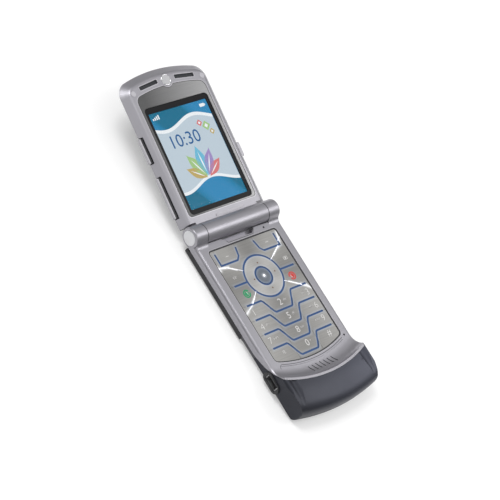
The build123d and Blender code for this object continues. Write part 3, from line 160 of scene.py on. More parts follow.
def ribbon(path: np.ndarray, widths: np.ndarray | float) -> np.ndarray:
    """Outline of a line of changing width: each point is moved half its width along the path's normal.

    Args:
        path: rows of x, y along the middle.
        widths: one width for each point, or one for all.

    Returns:
        Rows of x, y.
    """
    ahead = np.gradient(path, axis=0)
    ahead /= np.linalg.norm(ahead, axis=1)[:, None]
    half = np.broadcast_to(widths, len(path))[:, None] / 2
    side = np.column_stack([-ahead[:, 1], ahead[:, 0]]) * half
    return np.vstack([path + side, (path - side)[::-1]])


@dataclass(frozen=True)
class ArchedPlan:
    """Outline with straight sides, one straight end and one arched end, in millimetres.

    The arch's centre c lies at arch -+ radius. A corner between side and arch turns about
    (half - q, c +- sqrt((radius - q)^2 - (half - q)^2)), where q is the corner's radius.

    Args:
        half: half the width.
        flat: y of the straight end.
        arch: y of the arch's middle.
        radius: radius of the arch.
        flat_round: corner radius at the straight end.
        arch_round: corner radius at the arch.
    """

    half: float
    flat: float
    arch: float
    radius: float
    flat_round: float
    arch_round: float

    def loop(self, margin: float) -> np.ndarray:
        """Points once round, moved outwards by a margin and as many for every margin.

        Args:
            margin: how far outwards.

        Returns:
            Rows of x, y.
        """
        half, radius = self.half + margin, self.radius + margin
        q, f = self.arch_round + margin, self.flat_round + margin
        centre = abs(self.arch - self.flat) + margin - radius
        rise = centre + math.sqrt((radius - q)**2 - (half - q)**2)
        lean = math.atan2(rise - centre, half - q)
        low_corner = arc((half - f, f - margin), f, -np.pi / 2, 0, 10)
        top_corner = arc((half - q, rise), q, 0, lean, 12)
        arch = arc((0, centre), radius, lean, np.pi - lean, 121)[1:-1]
        right = np.vstack([low_corner, top_corner])
        loop = np.vstack([right, arch, right[::-1] * (-1, 1)])
        return loop * (1, np.sign(self.arch - self.flat)) + (0, self.flat)


# ---------------------------------------------------------------- solids


def ring_faces(rows: int, count: int, wrap: bool) -> list:
    """Faces of a grid of rows, each row a closed loop of vertices.

    Vertex (i, j) has the number i * count + j, and a face joins rows i and
    i + 1.

    Args:
        rows: number of rows.
        count: vertices in a row.
        wrap: whether the last row joins the first.

    Returns:
        Faces of four vertices.
    """
    i = np.arange(rows if wrap else rows - 1)[:, None]
    j = np.arange(count)[None, :]
    a, b = i * count, ((i + 1) % rows) * count
    k = (j + 1) % count
    return np.stack([a + j, a + k, b + k, b + j], axis=-1).reshape(-1, 4).tolist()


def stacked(loops: list[tuple[np.ndarray, float]]) -> np.ndarray:
    """Vertices of outlines, each at its own height."""
    return np.vstack([np.column_stack([loop, np.full(len(loop), z)]) for loop, z in loops])


def plate(outline: np.ndarray, low: float, high: float) -> Solid:
    """Flat plate from a closed outline, between two heights.

    Args:
        outline: rows of x, y.
        low: height of the underside.
        high: height of the top.

    Returns:
        Vertices and faces.
    """
    count = len(outline)
    faces = [tuple(range(count)), tuple(range(count, 2 * count))]
    return stacked([(outline, low), (outline, high)]), faces + ring_faces(2, count, False)


def frame_band(outer: np.ndarray, inner: np.ndarray, low: float, high: float) -> Solid:
    """Closed band between two outlines of the same number of points.

    Its section is the rectangle outer-low, outer-high, inner-high, inner-low.

    Args:
        outer: rows of x, y.
        inner: rows of x, y.
        low: height of the underside.
        high: height of the top.

    Returns:
        Vertices and faces.
    """
    points = stacked([(outer, low), (outer, high), (inner, high), (inner, low)])
    return points, ring_faces(4, len(outer), True)


def spun(profile: np.ndarray, centre: Pair, count: int = 48) -> Solid:
    """Closed solid of revolution about an upright axis.

    A profile point (r, z) becomes (cx + r cos t, cy + r sin t, z) for t once
    round.

    Args:
        profile: closed loop of points r, z off the axis.
        centre: place of the axis.
        count: steps once round.

    Returns:
        Vertices and faces.
    """
    t = np.linspace(0, 2 * np.pi, count, endpoint=False)
    r, z = profile[:, 0, None], profile[:, 1, None]
    grid = np.stack([centre[0] + r * np.cos(t), centre[1] + r * np.sin(t), z + 0 * t], axis=-1)
    return grid.reshape(-1, 3), ring_faces(len(profile), count, True)


def lettering(text: str, size: float, middle: Place, thickness: float, spread: float = 0.0) -> Solid:
    """Thick characters about a point.

    Args:
        text: the characters.
        size: height of a line.
        middle: the point.
        thickness: from the underside to the top.
        spread: how far the strokes are widened.

    Returns:
        Vertices and faces.
    """
    curve = bpy.data.curves.new("characters", "FONT")
    curve.body, curve.size = text, size
    curve.align_x, curve.align_y = "CENTER", "CENTER"
    curve.resolution_u = 3
    curve.offset, curve.extrude = spread, thickness / 2
    holder = bpy.data.objects.new("characters", curve)
    bpy.context.collection.objects.link(holder)
    evaluated = holder.evaluated_get(bpy.context.evaluated_depsgraph_get())
    flat = bpy.data.meshes.new_from_object(evaluated)
    corners = np.empty(len(flat.vertices) * 3)
    flat.vertices.foreach_get("co", corners)
    faces = [tuple(face.vertices) for face in flat.polygons]
    bpy.data.objects.remove(holder)
    bpy.data.meshes.remove(flat)
    bpy.data.curves.remove(curve)
    return corners.reshape(-1, 3) + np.array(middle), faces


@dataclass(frozen=True)
class Band:
    """Flat band around a plan: its outer and inner margins, and its low and high face."""

    outer: float
    inner: float
    low: float
    high: float

    def around(self, plan: Callable[[float], np.ndarray]) -> Solid:
        """The band around a plan that gives its outline for a margin."""
        return frame_band(plan(self.outer), plan(self.inner), self.low, self.high)


# ---------------------------------------------------------------- shader wiring


@dataclass(frozen=True, eq=False)
class Term:
    """Output of a node, on which plain arithmetic places math nodes.

    Args:
        wiring: where the node stands.
        socket: the output.
    """

    wiring: "Wiring"
    socket: bpy.types.NodeSocket

    def math(self, operation: str, *others: "Term | float") -> "Term":
        """Result of a math node whose first value this is."""
        return self.wiring.math(operation, self, *others)

    def __add__(self, other: "Term | float") -> "Term":
        """Sum."""
        return self.math("ADD", other)

    def __sub__(self, other: "Term | float") -> "Term":
        """Difference."""
        return self.math("SUBTRACT", other)

    def __rsub__(self, other: float) -> "Term":
        """Difference from a number."""
        return self.wiring.math("SUBTRACT", other, self)

    def __mul__(self, other: "Term | float") -> "Term":
        """Product."""
        return self.math("MULTIPLY", other)

    def __truediv__(self, other: "Term | float") -> "Term":
        """Quotient."""
        return self.math("DIVIDE", other)

    def __pow__(self, power: float) -> "Term":
        """Power."""
        return self.math("POWER", power)

    def __neg__(self) -> "Term":
        """Opposite."""
        return self.math("MULTIPLY", -1.0)

    def __abs__(self) -> "Term":
        """Size without its sign."""
        return self.math("ABSOLUTE")

    def clamped(self) -> "Term":
        """The number, kept between 0 and 1."""
        return self.wiring.math("ADD", self, 0.0, clamp=True)


Value = Term | float | tuple[float, ...]
Inputs = dict[str | int, Value]


def least(*terms: Term) -> Term:
    """Smallest of several numbers."""
    return reduce(lambda a, b: a.math("MINIMUM", b), terms)


def greatest(*terms: Term) -> Term:
    """Largest of several numbers."""
    return reduce(lambda a, b: a.math("MAXIMUM", b), terms)


def length(a: Term, b: Term) -> Term:
    """Length of the vector (a, b)."""
    return (a * a + b * b).math("SQRT")


@dataclass(eq=False)
class Wiring:
    """Places nodes in a node tree, each joined to what goes into it."""

    tree: bpy.types.NodeTree

    def join(self, value: Value, place: bpy.types.NodeSocket) -> None:
        """Links an output to a socket, or sets the socket to a number, vector or colour.

        Args:
            value: the output, number, vector or colour.
            place: the socket.
        """
        if isinstance(value, Term):
            self.tree.links.new(value.socket, place)
        else:
            place.default_value = value

    def node(self, kind: str, inputs: Inputs | None = None, **settings: object) -> bpy.types.Node:
        """Places one node.

        Args:
            kind: type of the node, without its ShaderNode.
            inputs: what goes into each socket, by the socket's name or number.
            settings: properties of the node.

        Returns:
            The node.
        """
        node = self.tree.nodes.new(f"ShaderNode{kind}")
        for label, setting in settings.items():
            setattr(node, label, setting)
        for label, value in (inputs or {}).items():
            self.join(value, node.inputs[label])
        return node

    def outputs(self, node: bpy.types.Node, *labels: str) -> tuple[Term, ...]:
        """Several outputs of a node."""
        return tuple(Term(self, node.outputs[label]) for label in labels)

    def output(self, label: str | int, kind: str, inputs: Inputs | None = None, **settings: object) -> Term:
        """One output of a node that is placed for it."""
        return Term(self, self.node(kind, inputs, **settings).outputs[label])

    def math(self, operation: str, *values: Term | float, clamp: bool = False) -> Term:
        """Result of a math node, kept between 0 and 1 with clamp."""
        return self.output(0, "Math", dict(enumerate(values)), operation=operation, use_clamp=clamp)

    def vector(self, operation: str, *values: Value) -> Term:
        """Result of a vector math node, which is a number for a dot product or a distance."""
        label = "Value" if operation in ("DOT_PRODUCT", "DISTANCE") else "Vector"
        return self.output(label, "VectorMath", dict(enumerate(values)), operation=operation)

    def scaled(self, vector: Value, level: Term) -> Term:
        """A vector or colour times a number."""
        return self.output(0, "VectorMath", {0: vector, "Scale": level}, operation="SCALE")

    def ranged(self, value: Term, source: Pair, target: Pair, **settings: str) -> Term:
        """A number carried from one range to another, and kept in it."""
        limits = dict(zip(("From Min", "From Max", "To Min", "To Max"), source + target))
        return self.output("Result", "MapRange", {"Value": value} | limits, **settings)

    def mixed(self, share: Term, first: Term, last: Colour) -> Term:
        """Blend from one colour to another."""
        inputs = {"Factor": share, "A": first, "B": (*last, 1.0)}
        return self.output("Result", "Mix", inputs, data_type="RGBA")

    def noise(self, vector: Term, scale: Term | float, detail: float, roughness: float = 0.5) -> Term:
        """Noise of a scale and detail."""
        inputs = {"Vector": vector, "Scale": scale, "Detail": detail, "Roughness": roughness}
        return self.output("Fac", "TexNoise", inputs)

    def coordinates(self) -> Term:
        """Place on the object, in metres."""
        return self.output("Object", "TexCoord")

    def millimetres(self, vector: Term) -> tuple[Term, ...]:
        """x, y and z of a place in metres, as millimetres of the base frame."""
        moved = self.vector("MULTIPLY_ADD", vector, (1 / MM, 1 / MM, 1 / MM), tuple(-HINGE))
        return self.outputs(self.node("SeparateXYZ", {0: moved}), "X", "Y", "Z")

    def rays(self, *kinds: str) -> Term:
        """1 for rays of the named kinds, 0 for others."""
        return greatest(*self.outputs(self.node("LightPath"), *(f"Is {kind} Ray" for kind in kinds)))


@dataclass(eq=False)
class Surface(Wiring):
    """Nodes of a material around its shader."""

    def feed(self, inputs: dict[str, Value]) -> None:
        """Gives the shader what goes into it, by socket name."""
        for label, value in inputs.items():
            self.join(value, self.tree.nodes["Principled BSDF"].inputs[label])

    @property
    def colour(self) -> Term:
        """What feeds the base colour."""
        return Term(self, self.tree.nodes["Principled BSDF"].inputs["Base Color"].links[0].from_socket)


@dataclass(eq=False)
class Group(Wiring):
    """Nodes of a shader group, between what it is given and what it gives."""

    def given(self, label: str) -> Term:
        """One input of the group."""
        return Term(self, self.tree.nodes["Group Input"].outputs[label])

    def give(self, **outputs: Term) -> bpy.types.NodeTree:
        """Links the group's outputs and returns the finished tree.

        Args:
            outputs: what goes into each output, by its name.

        Returns:
            The tree of the group.
        """
        for label, value in outputs.items():
            self.join(value, self.tree.nodes["Group Output"].inputs[label])
        return self.tree


def new_group(name: str, vectors: Labels, numbers: Labels, outputs: Labels) -> Group:
    """Empty shader group with named sockets.

    Args:
        name: name of the group.
        vectors: inputs that are vectors.
        numbers: inputs that are numbers.
        outputs: outputs, all of them numbers.

    Returns:
        The group, with its Group Input and Group Output nodes.
    """
    tree = bpy.data.node_groups.new(name, "ShaderNodeTree")
    for label in vectors:
        tree.interface.new_socket(label, in_out="INPUT", socket_type="NodeSocketVector")
    for label in numbers:
        tree.interface.new_socket(label, in_out="INPUT", socket_type="NodeSocketFloat")
    for label in outputs:
        tree.interface.new_socket(label, in_out="OUTPUT", socket_type="NodeSocketFloat")
    tree.nodes.new("NodeGroupInput")
    tree.nodes.new("NodeGroupOutput")
    return Group(tree)


# ---------------------------------------------------------------- shared effects


@dataclass(frozen=True)
class LightLines:
    """Course of the keypad's light lines, in millimetres of the base frame.

    Args:
        row_y: y of the first row at the sides.
        row_step: from one row to the next.
        rows: how many rows there are.
        knee: distance from the middle plane at which a row starts to fall.
        knee_run: distance over which it falls.
        fall: how far it falls.
        row_ends: x of its ends.
        ring_y: y of the ring's middle.
        ring_r: radius of the line around the ring.
        select_r: radius of the line around the middle key.
        stub_ends: x of the outer ends of the lines beside the ring.
        soft_upper: |x| of the upper inner edge of the soft keys, as a + b y.
        soft_lower: |x| of their lower inner edge.
        soft_side: |x| of their outer edge.
        soft_low: y of their lower edge.
        soft_top: y at which their lines end.
        line: half the width of a line.
        glow_start: distance at which the glow beside it starts to fade.
        glow_reach: distance over which it fades.
        glow_power: how steeply.
        sharpness: how fast the line itself starts, per millimetre.
        sheen_core: square of the radius within which the ring's sheen is soft.
    """

    row_y: float = -37.5
    row_step: float = 7.25
    rows: int = 4
    knee: float = 9.85
    knee_run: float = 5.2
    fall: float = 7.15
    row_ends: Pair = (-17.7, 18.9)
    ring_y: float = -27.4
    ring_r: float = 10.3
    select_r: float = 4.35
    stub_ends: Pair = (-17.9, 18.7)
    soft_upper: Pair = (3.07, -0.237)
    soft_lower: Pair = (-7.87, -0.971)
    soft_side: float = 18.45
    soft_low: float = -16.65
    soft_top: float = -11.1
    line: float = 0.52
    glow_start: float = 0.4
    glow_reach: float = 1.3
    glow_power: float = 1.6
    sharpness: float = 8.0
    sheen_core: float = 4.0

    def rows_away(self, x: Term, y: Term) -> Term:
        """Distance to the nearest row.

        The first row is at y0 = row_y - fall (3 t^2 - 2 t^3) with t = (knee - |x|) / knee_run,
        the others lie below it, and y's distance is divided by sqrt(1 + y0'^2).

        Args:
            x: place across.
            y: place along.

        Returns:
            The distance, in millimetres.
        """
        t = ((self.knee - abs(x)) / self.knee_run).clamped()
        off = y - self.row_y + t * t * (3.0 - t * 2.0) * self.fall
        deep = (self.rows - 1) * self.row_step
        away = greatest(off.math("PINGPONG", self.row_step / 2), off, -deep - off)
        slope = t * (1.0 - t) * (6.0 * self.fall / self.knee_run)
        away = away * (slope * slope + 1.0).math("INVERSE_SQRT")
        return greatest(away, self.row_ends[0] - x, x - self.row_ends[1])

    def soft_keys_away(self, side: Term, y: Term) -> Term:
        """Distance to the lines around the soft keys, where side is |x|.

        Args:
            side: distance from the middle plane.
            y: place along.

        Returns:
            The distance, in millimetres.
        """
        (upper, upper_slope), (lower, lower_slope) = self.soft_upper, self.soft_lower
        inner = greatest(y * upper_slope + upper, y * lower_slope + lower) - side
        inside = greatest(inner, side - self.soft_side, self.soft_low - y)
        return greatest(abs(inside), y - self.soft_top)


@dataclass
class Effects:
    """Shader groups that several finishes share.

    Args:
        lines: course of the light lines.
        grain_outputs: what both grain groups give.
        moulded_wear: scale and detail of the wear on paint and plastic.
        brushed_wear: scale and detail of the wear on brushed metal.
    """

    lines: LightLines = LightLines()
    grain_outputs: ClassVar[Labels] = ("Shade", "Wear", "Height")
    moulded_wear: ClassVar[Pair] = (90.0, 4.0)
    brushed_wear: ClassVar[Pair] = (110.0, 2.0)
    speckle: bpy.types.NodeTree = field(init=False)
    brushed: bpy.types.NodeTree = field(init=False)
    glint: bpy.types.NodeTree = field(init=False)
    glow: bpy.types.NodeTree = field(init=False)

    def __post_init__(self) -> None:
        """Builds the groups once."""
        self.speckle = self._speckle()
        self.brushed = self._brushed()
        self.glint = self._glint()
        self.glow = self._glow()

    def _grain(self, group: Group, marks: Term, clouds: Term) -> bpy.types.NodeTree:
        """Gives the shade 1 + Strength (marks - 1/2), the wear of the clouds and the height of the marks."""
        shade = (marks - 0.5).math("MULTIPLY_ADD", group.given("Strength"), 1.0)
        return group.give(Shade=shade, Wear=clouds, Height=marks)

    def _speckle(self) -> bpy.types.NodeTree:
        """Fine paint or moulding grain with faint larger clouds of wear.

        Returns:
            The group.
        """
        group = new_group("fine_speckle", ("Vector",), ("Scale", "Strength"), self.grain_outputs)
        where = group.given("Vector")
        marks = group.noise(where, group.given("Scale"), detail=2.0)
        return self._grain(group, marks, group.noise(where, *self.moulded_wear))

    def _brushed(self) -> bpy.types.NodeTree:
        """Brush marks: noise stretched along one axis, fine over coarse.

        Returns:
            The group.
        """
        group = new_group("brush_marks", ("Vector", "Stretch"), ("Strength",), self.grain_outputs)
        where = group.given("Vector")
        stretched = group.vector("MULTIPLY", where, group.given("Stretch"))
        marks = group.noise(stretched, scale=1.0, detail=4.0, roughness=0.7)
        return self._grain(group, marks, group.noise(where, *self.brushed_wear))

    def _glint(self) -> bpy.types.NodeTree:
        """Soft band of light about a line from Start to End, in millimetres of the base frame.

        With p from Start and b from Start to End, the nearest point is at
        h = clamp(p.b / b.b), and the mask is (1 - |p - b h| / Width)^2.

        Returns:
            The group.
        """
        group = new_group("line_glint", ("Vector", "Start", "End"), ("Width",), ("Mask",))
        start = group.given("Start")
        scale, shift = (1 / MM, 1 / MM, 0.0), (-HINGE[0], -HINGE[1], 0.0)
        flat = group.vector("MULTIPLY_ADD", group.given("Vector"), scale, shift)
        p = group.vector("SUBTRACT", flat, start)
        b = group.vector("SUBTRACT", group.given("End"), start)
        share = (group.vector("DOT_PRODUCT", p, b) / group.vector("DOT_PRODUCT", b, b)).clamped()
        away = group.vector("DISTANCE", p, group.scaled(b, share))
        return group.give(Mask=(1.0 - away / group.given("Width")).clamped()**2.0)

    def _glow(self) -> bpy.types.NodeTree:
        """Painted glow of the light lines on the keys beside them, the mask of the painted shade at their
        edges, and the painted sheen of the brushed sheet.

        The glow is (1 - (d - glow_start) / glow_reach)^glow_power of the distance d to the nearest
        line, and the line itself ends at d = line. The sheen follows sin(2 a)^2 of the angle a about
        the ring's middle.

        Returns:
            The group.
        """
        lines = self.lines
        group = new_group("line_glow", ("Vector",), (), ("Glow", "Sheen", "Line"))
        x, y, _ = group.millimetres(group.given("Vector"))
        side, up = abs(x), y - lines.ring_y
        radius = length(x, up)
        stub = greatest(abs(up), lines.stub_ends[0] - x, x - lines.stub_ends[1], lines.ring_r - side)
        near = least(lines.rows_away(x, y), abs(radius - lines.ring_r), abs(radius - lines.select_r), stub,
                     lines.soft_keys_away(side, y))
        glow = ((lines.glow_start + lines.glow_reach - near) / lines.glow_reach).clamped()**lines.glow_power
        line = ((lines.line - near) * lines.sharpness).clamped()
        turned = x * up * 2.0 / (radius * radius + lines.sheen_core)
        return group.give(Glow=glow, Sheen=turned * turned, Line=line)


# ---------------------------------------------------------------- finishes


@dataclass(frozen=True)
class PaintedShading:
    """Painted light and shade: brightness that changes along a direction of the model.

    Args:
        axis: direction, not scaled.
        start: distance along it where the first level ends, in millimetres.
        end: distance where the last level starts, in millimetres.
        first: level before the start.
        last: level after the end.
    """

    axis: Colour
    start: float
    end: float
    first: float
    last: float


@dataclass(frozen=True)
class Finish:
    """One finish of the phone.

    Args:
        name: material name.
        colour: base colour, linear.
        metallic: share of bare metal.
        roughness: roughness in the middle of its range.
        coat: clear coat weight.
        grain: fine structure.
        grain_size: speckle scale, or marks per metre across the brushing.
        contrast: how far the grain shades the colour.
        relief: bump strength of the grain.
        glow: emitted colour.
        alpha: opacity.
        fade: painted light and shade, a change of brightness across the piece.
        specular: strength of the plain reflection.
        nodes: CAD nodes that wear it.
        brush_length: marks per metre along the brushing.
        wear: how far the roughness leaves its middle, both ways.
        smoothest: least roughness.
        relief_depth: height of the grain, in millimetres.
        coat_roughness: roughness of the clear coat.
    """

    name: str
    colour: Colour
    metallic: float = 0.0
    roughness: float = 0.45
    coat: float = 0.0
    grain: Grain = Grain.SPECKLE
    grain_size: float = 6000.0
    contrast: float = 0.12
    relief: float = 0.05
    glow: Colour | None = None
    alpha: float = 1.0
    fade: PaintedShading | None = None
    specular: float = 0.5
    nodes: tuple[str, ...] = ()
    brush_length: ClassVar[float] = 60.0
    wear: ClassVar[Pair] = (-0.05, 0.07)
    smoothest: ClassVar[float] = 0.02
    relief_depth: ClassVar[float] = 0.02
    coat_roughness: ClassVar[float] = 0.08

    def grained(self, surface: Surface, effects: Effects) -> None:
        """Places the grain group and links shade, wear and height.

        Args:
            surface: nodes of the material.
            effects: shared groups.
        """
        inputs = {"Vector": surface.coordinates(), "Strength": self.contrast}
        if self.grain is Grain.SPECKLE:
            tree = effects.speckle
            inputs["Scale"] = self.grain_size
        else:
            tree = effects.brushed
            along, across = self.brush_length, self.grain_size
            first, second = (along, across) if self.grain is Grain.BRUSHED_ACROSS else (across, along)
            inputs["Stretch"] = (first, second, across)
        grain = surface.node("Group", inputs, node_tree=tree)
        shade, wear, height = surface.outputs(grain, *effects.grain_outputs)
        smooth, rough = np.clip(np.add(self.roughness, self.wear), self.smoothest, 1.0)
        relief = {"Strength": self.relief, "Distance": self.relief_depth * MM, "Height": height}
        surface.feed({"Base Color": surface.scaled(self.colour, shade),
                      "Roughness": surface.ranged(wear, (0.0, 1.0), (smooth, rough)),
                      "Normal": surface.output("Normal", "Bump", relief)})

    def detail(self, surface: Surface, effects: Effects) -> None:
        """With a fade, paints light and shade: scales the colour by its level at the distance p . axis along
        the fade's axis.

        Args:
            surface: nodes of the material.
            effects: shared groups.
        """
        fade = self.fade
        if fade:
            along = surface.vector("DOT_PRODUCT", surface.coordinates(), fade.axis)
            level = surface.ranged(along, (fade.start * MM, fade.end * MM), (fade.first, fade.last))
            surface.feed({"Base Color": surface.scaled(surface.colour, level)})

    def build(self, effects: Effects) -> bpy.types.Material:
        """The finish as a material.

        Args:
            effects: shared groups.

        Returns:
            The material.
        """
        material = bpy.data.materials.new(self.name)
        material.use_nodes = True
        surface = Surface(material.node_tree)
        surface.feed({"Metallic": self.metallic, "Alpha": self.alpha, "Specular IOR Level": self.specular,
                      "Coat Weight": self.coat, "Coat Roughness": self.coat_roughness})
        if self.glow:
            surface.feed({"Emission Color": (*self.glow, 1.0), "Emission Strength": 1.0})
        self.grained(surface, effects)
        self.detail(surface, effects)
        return material


@dataclass(frozen=True)
class InkFinish(Finish):
    """Plain ink or thin paint without relief."""

    contrast: float = 0.05
    relief: float = 0.0


@dataclass(frozen=True)
class PictureFinish(InkFinish):
    """Lit colour of the display's picture."""

    roughness: float = 0.3
    contrast: float = 0.03
    specular: float = 0.08


@dataclass(frozen=True)
class KeypadFinish(Finish):
    """Brushed nickel keypad with painted light: glow beside its lines, glints along the partings, a sheen,
    and painted shade at the lines' edges.

    Args:
        glints: start, end and width in the base frame, in millimetres.
        glint: colour of the light along the partings.
        halo: colour of the light beside the lines.
        line: colour glowing on the keys' edges beside the lines, where painted shade also darkens them.
        line_shade: how far that painted shade darkens the metal.
        sheen: how much the painted sheen of the brushing lifts the colour.
        sheen_middle: the share of the sheen at which the colour is as written.
    """

    metallic: float = 0.55
    roughness: float = 0.32
    grain: Grain = Grain.BRUSHED_ACROSS
    grain_size: float = 5200.0
    contrast: float = 0.4
    relief: float = 0.08
    glints: tuple[tuple[Pair, Pair, float], ...] = ()
    glint: Colour = (0.72, 0.73, 0.76)
    halo: Colour = (0.066, 0.094, 0.150)
    line: Colour = (0.024, 0.048, 0.108)
    line_shade: float = 0.9
    sheen: float = 0.42
    sheen_middle: float = 0.4

    def detail(self, surface: Surface, effects: Effects) -> None:
        """Paints light: the glints and the glow as emission, the sheen into the colour, and shade with a
        blue glow on the lines' edges.

        Args:
            surface: nodes of the material.
            effects: shared groups.
        """
        where = surface.coordinates()
        masks = []
        for start, end, width in self.glints:
            inputs = {"Vector": where, "Start": (*start, 0.0), "End": (*end, 0.0), "Width": width}
            masks.append(surface.output("Mask", "Group", inputs, node_tree=effects.glint))
        beside = surface.node("Group", {"Vector": where}, node_tree=effects.glow)
        glow, sheen, line = surface.outputs(beside, "Glow", "Sheen", "Line")
        along = surface.scaled(self.glint, greatest(*masks))
        light = surface.vector("ADD", along, surface.scaled(self.halo, glow))
        # The sheen paints light into the colour, and the lines' edges paint shade.
        level = ((sheen - self.sheen_middle) * self.sheen + 1.0) * (1.0 - line * self.line_shade)
        surface.feed({"Emission Color": surface.mixed(line, light, self.line), "Emission Strength": 1.0,
                      "Base Color": surface.scaled(surface.colour, level)})


@dataclass(frozen=True)
class EdgeFinish(Finish):
    """Finish whose outer edge, beyond a distance from the middle plane, has another colour.

    Args:
        edge: colour of the outer edge.
        start: where it starts, in millimetres from the middle plane.
        sharpness: how fast the colour turns, per millimetre.
    """

    edge: Colour = (0.44, 0.43, 0.46)
    start: float = 26.1
    sharpness: float = 8.0

    def detail(self, surface: Surface, effects: Effects) -> None:
        """Mixes in the edge's colour.

        Args:
            surface: nodes of the material.
            effects: shared groups.
        """
        x, _, _ = surface.millimetres(surface.coordinates())
        share = ((abs(x) - self.start) * self.sharpness).clamped()
        surface.feed({"Base Color": surface.mixed(share, surface.colour, self.edge)})


@dataclass(frozen=True)
class ShellFinish(Finish):
    """Finish of the silver shells, with painted shade drawn as dark lines in their fine partings and
    grooves.

    All in millimetres of the base frame. The seams between barrel and knuckles lie at a distance
    from the middle plane, the lip's groove is an arch that ends on the left in a quarter turn, and
    the tab's outline is a trapezium.

    Args:
        seam: from which to which distance the seams lie.
        seam_reach: radius about the hinge axis within which they show.
        arch_y: y of the arch's centre.
        arch_r: its radius.
        arch_ends: x where the arch starts and ends.
        arch_top: y beyond which it isn't drawn.
        hook: centre of the quarter turn.
        hook_r: its radius.
        hook_overlap: how far the turn runs on beside the arch's end.
        tab_y: y of the trapezium's long edge.
        tab_half: half its width at the hinge axis.
        tab_slant: change of that half width for each step in y.
        tab_top: y of its open end.
        tab_low: z under which it isn't drawn.
        line: half the width of a line.
        sharpness: how fast a line starts, per millimetre.
        depth: how far the painted shade of a line darkens the colour.
    """

    seam: Pair = (18.85, 19.35)
    seam_reach: float = 4.9
    arch_y: float = -7.1
    arch_r: float = 62.8
    arch_ends: Pair = (-19.2, 20.2)
    arch_top: float = -60.0
    hook: Pair = (-19.2, -68.45)
    hook_r: float = 1.3
    hook_overlap: float = 0.4
    tab_y: float = -7.75
    tab_half: float = 13.5
    tab_slant: float = 0.75
    tab_top: float = -5.2
    tab_low: float = -0.3
    line: float = 0.19
    sharpness: float = 12.0
    depth: float = 0.68

    def detail(self, surface: Surface, effects: Effects) -> None:
        """Paints shade: darkens the colour along the lines.

        Args:
            surface: nodes of the material.
            effects: shared groups.
        """
        x, y, z = surface.millimetres(surface.coordinates())
        side = abs(x)
        seam = least(side - self.seam[0], self.seam[1] - side, self.seam_reach - length(y, z))
        arch = self.line - abs(length(x, y - self.arch_y) - self.arch_r)
        arch = least(arch, x - self.arch_ends[0], self.arch_ends[1] - x, self.arch_top - y)
        left, up = x - self.hook[0], y - self.hook[1]
        hook = least(self.line - abs(length(left, up) - self.hook_r), -left, up + self.hook_overlap)
        slanted = (side - (y * self.tab_slant + self.tab_half)) * (1 / math.hypot(1, self.tab_slant))
        tab = self.line - abs(greatest(self.tab_y - y, slanted))
        tab = least(tab, z - self.tab_low, self.tab_top - y)
        lines = (greatest(seam, arch, hook, tab) * self.sharpness).clamped()
        # Painted shade along the seams, the groove and the tab's outline.
        surface.feed({"Base Color": surface.scaled(surface.colour, 1.0 - lines * self.depth)})


@dataclass(frozen=True)
class ScreenFinish(InkFinish):
    """Lit backdrop of the main display: a teal wash with broad slanting bands.

    Args:
        slant: change of the bands' phase for each metre along the axes, in radians.
        bands: place between trough and crest, and colour there.
        brightness: emission strength.
    """

    slant: Place = (150.0, 118.0, 0.0)
    bands: tuple[tuple[float, Colour], ...] = (
        (0.42, (0.0, 0.155, 0.275)),
        (0.50, (0.004, 0.205, 0.390)),
        (0.80, (0.022, 0.250, 0.510)),
    )
    brightness: float = 0.95

    def detail(self, surface: Surface, effects: Effects) -> None:
        """Bands from a sine of the slanted distance.

        Args:
            surface: nodes of the material.
            effects: shared groups.
        """
        wave = surface.vector("DOT_PRODUCT", surface.coordinates(), self.slant).math("SINE")
        ramp = surface.node("ValToRGB", {"Fac": surface.ranged(wave, (-1.0, 1.0), (0.0, 1.0))})
        stops = ramp.color_ramp.elements
        stops.new(0.5)
        for stop, (place, colour) in zip(stops, self.bands):
            stop.position, stop.color = place, (*colour, 1.0)
        colour, = surface.outputs(ramp, "Color")
        surface.feed({"Emission Color": colour, "Emission Strength": self.brightness})


# Start, end and width of the painted glints along the keypad's partings, in millimetres of the base frame.
STREAK_GLINTS = (
    ((-12.0, -20.6), (-16.3, -18.1), 0.9),
    ((-15.4, -18.3), (-21.1, -17.3), 1.5),
    ((-20.4, -18.6), (-21.1, -16.6), 1.7),
    ((11.6, -20.2), (17.1, -16.9), 0.9),
    ((16.0, -17.6), (18.4, -16.4), 1.6),
    ((19.2, -15.2), (20.6, -10.6), 1.5),
    ((-11.4, -34.9), (-14.9, -37.3), 0.9),
    ((-15.3, -38.1), (-19.8, -40.2), 0.9),
    ((-18.8, -39.8), (-21.0, -40.9), 1.5),
    ((11.2, -34.0), (16.8, -37.5), 0.9),
    ((16.6, -37.2), (20.2, -39.8), 1.5),
    ((19.0, -37.9), (21.1, -41.0), 1.2),
)
SELECT_GLINT = ((0.1, -27.4), (0.3, -27.4), 1.8)

KEYPAD_NODES = (
    "keypad_plate", "left_soft_key", "right_soft_key", "clear_key", "camera_key", "send_key", "end_key",
    *(f"key_{number}" for number in range(1, 10)), "star_key", "zero_key", "hash_key",
)
STEEL_NODES = ("side_port", "base_screws", "hinge_cartridge", "hinge_pin", "nav_actuator", "vibration_motor",
               "microphone")
BLACK_NODES = ("port_surround", "antenna_carrier", "loudspeaker", "earpiece", "camera_module")

# Base colour and light of each colour of the display's picture.
PICTURE_COLOURS = {
    "white": ((0.05, 0.05, 0.05), (0.86, 0.90, 0.93)),
    "pale": ((0.05, 0.05, 0.05), (0.50, 0.60, 0.68)),
    "blue": ((0.0, 0.02, 0.06), (0.010, 0.085, 0.24)),
    "sky": ((0.0, 0.04, 0.06), (0.17, 0.48, 0.66)),
    "green": ((0.02, 0.05, 0.0), (0.36, 0.55, 0.24)),
    "red": ((0.06, 0.0, 0.0), (0.66, 0.20, 0.20)),
    "violet": ((0.03, 0.02, 0.05), (0.34, 0.26, 0.52)),
    "ochre": ((0.05, 0.03, 0.0), (0.50, 0.38, 0.14)),
}

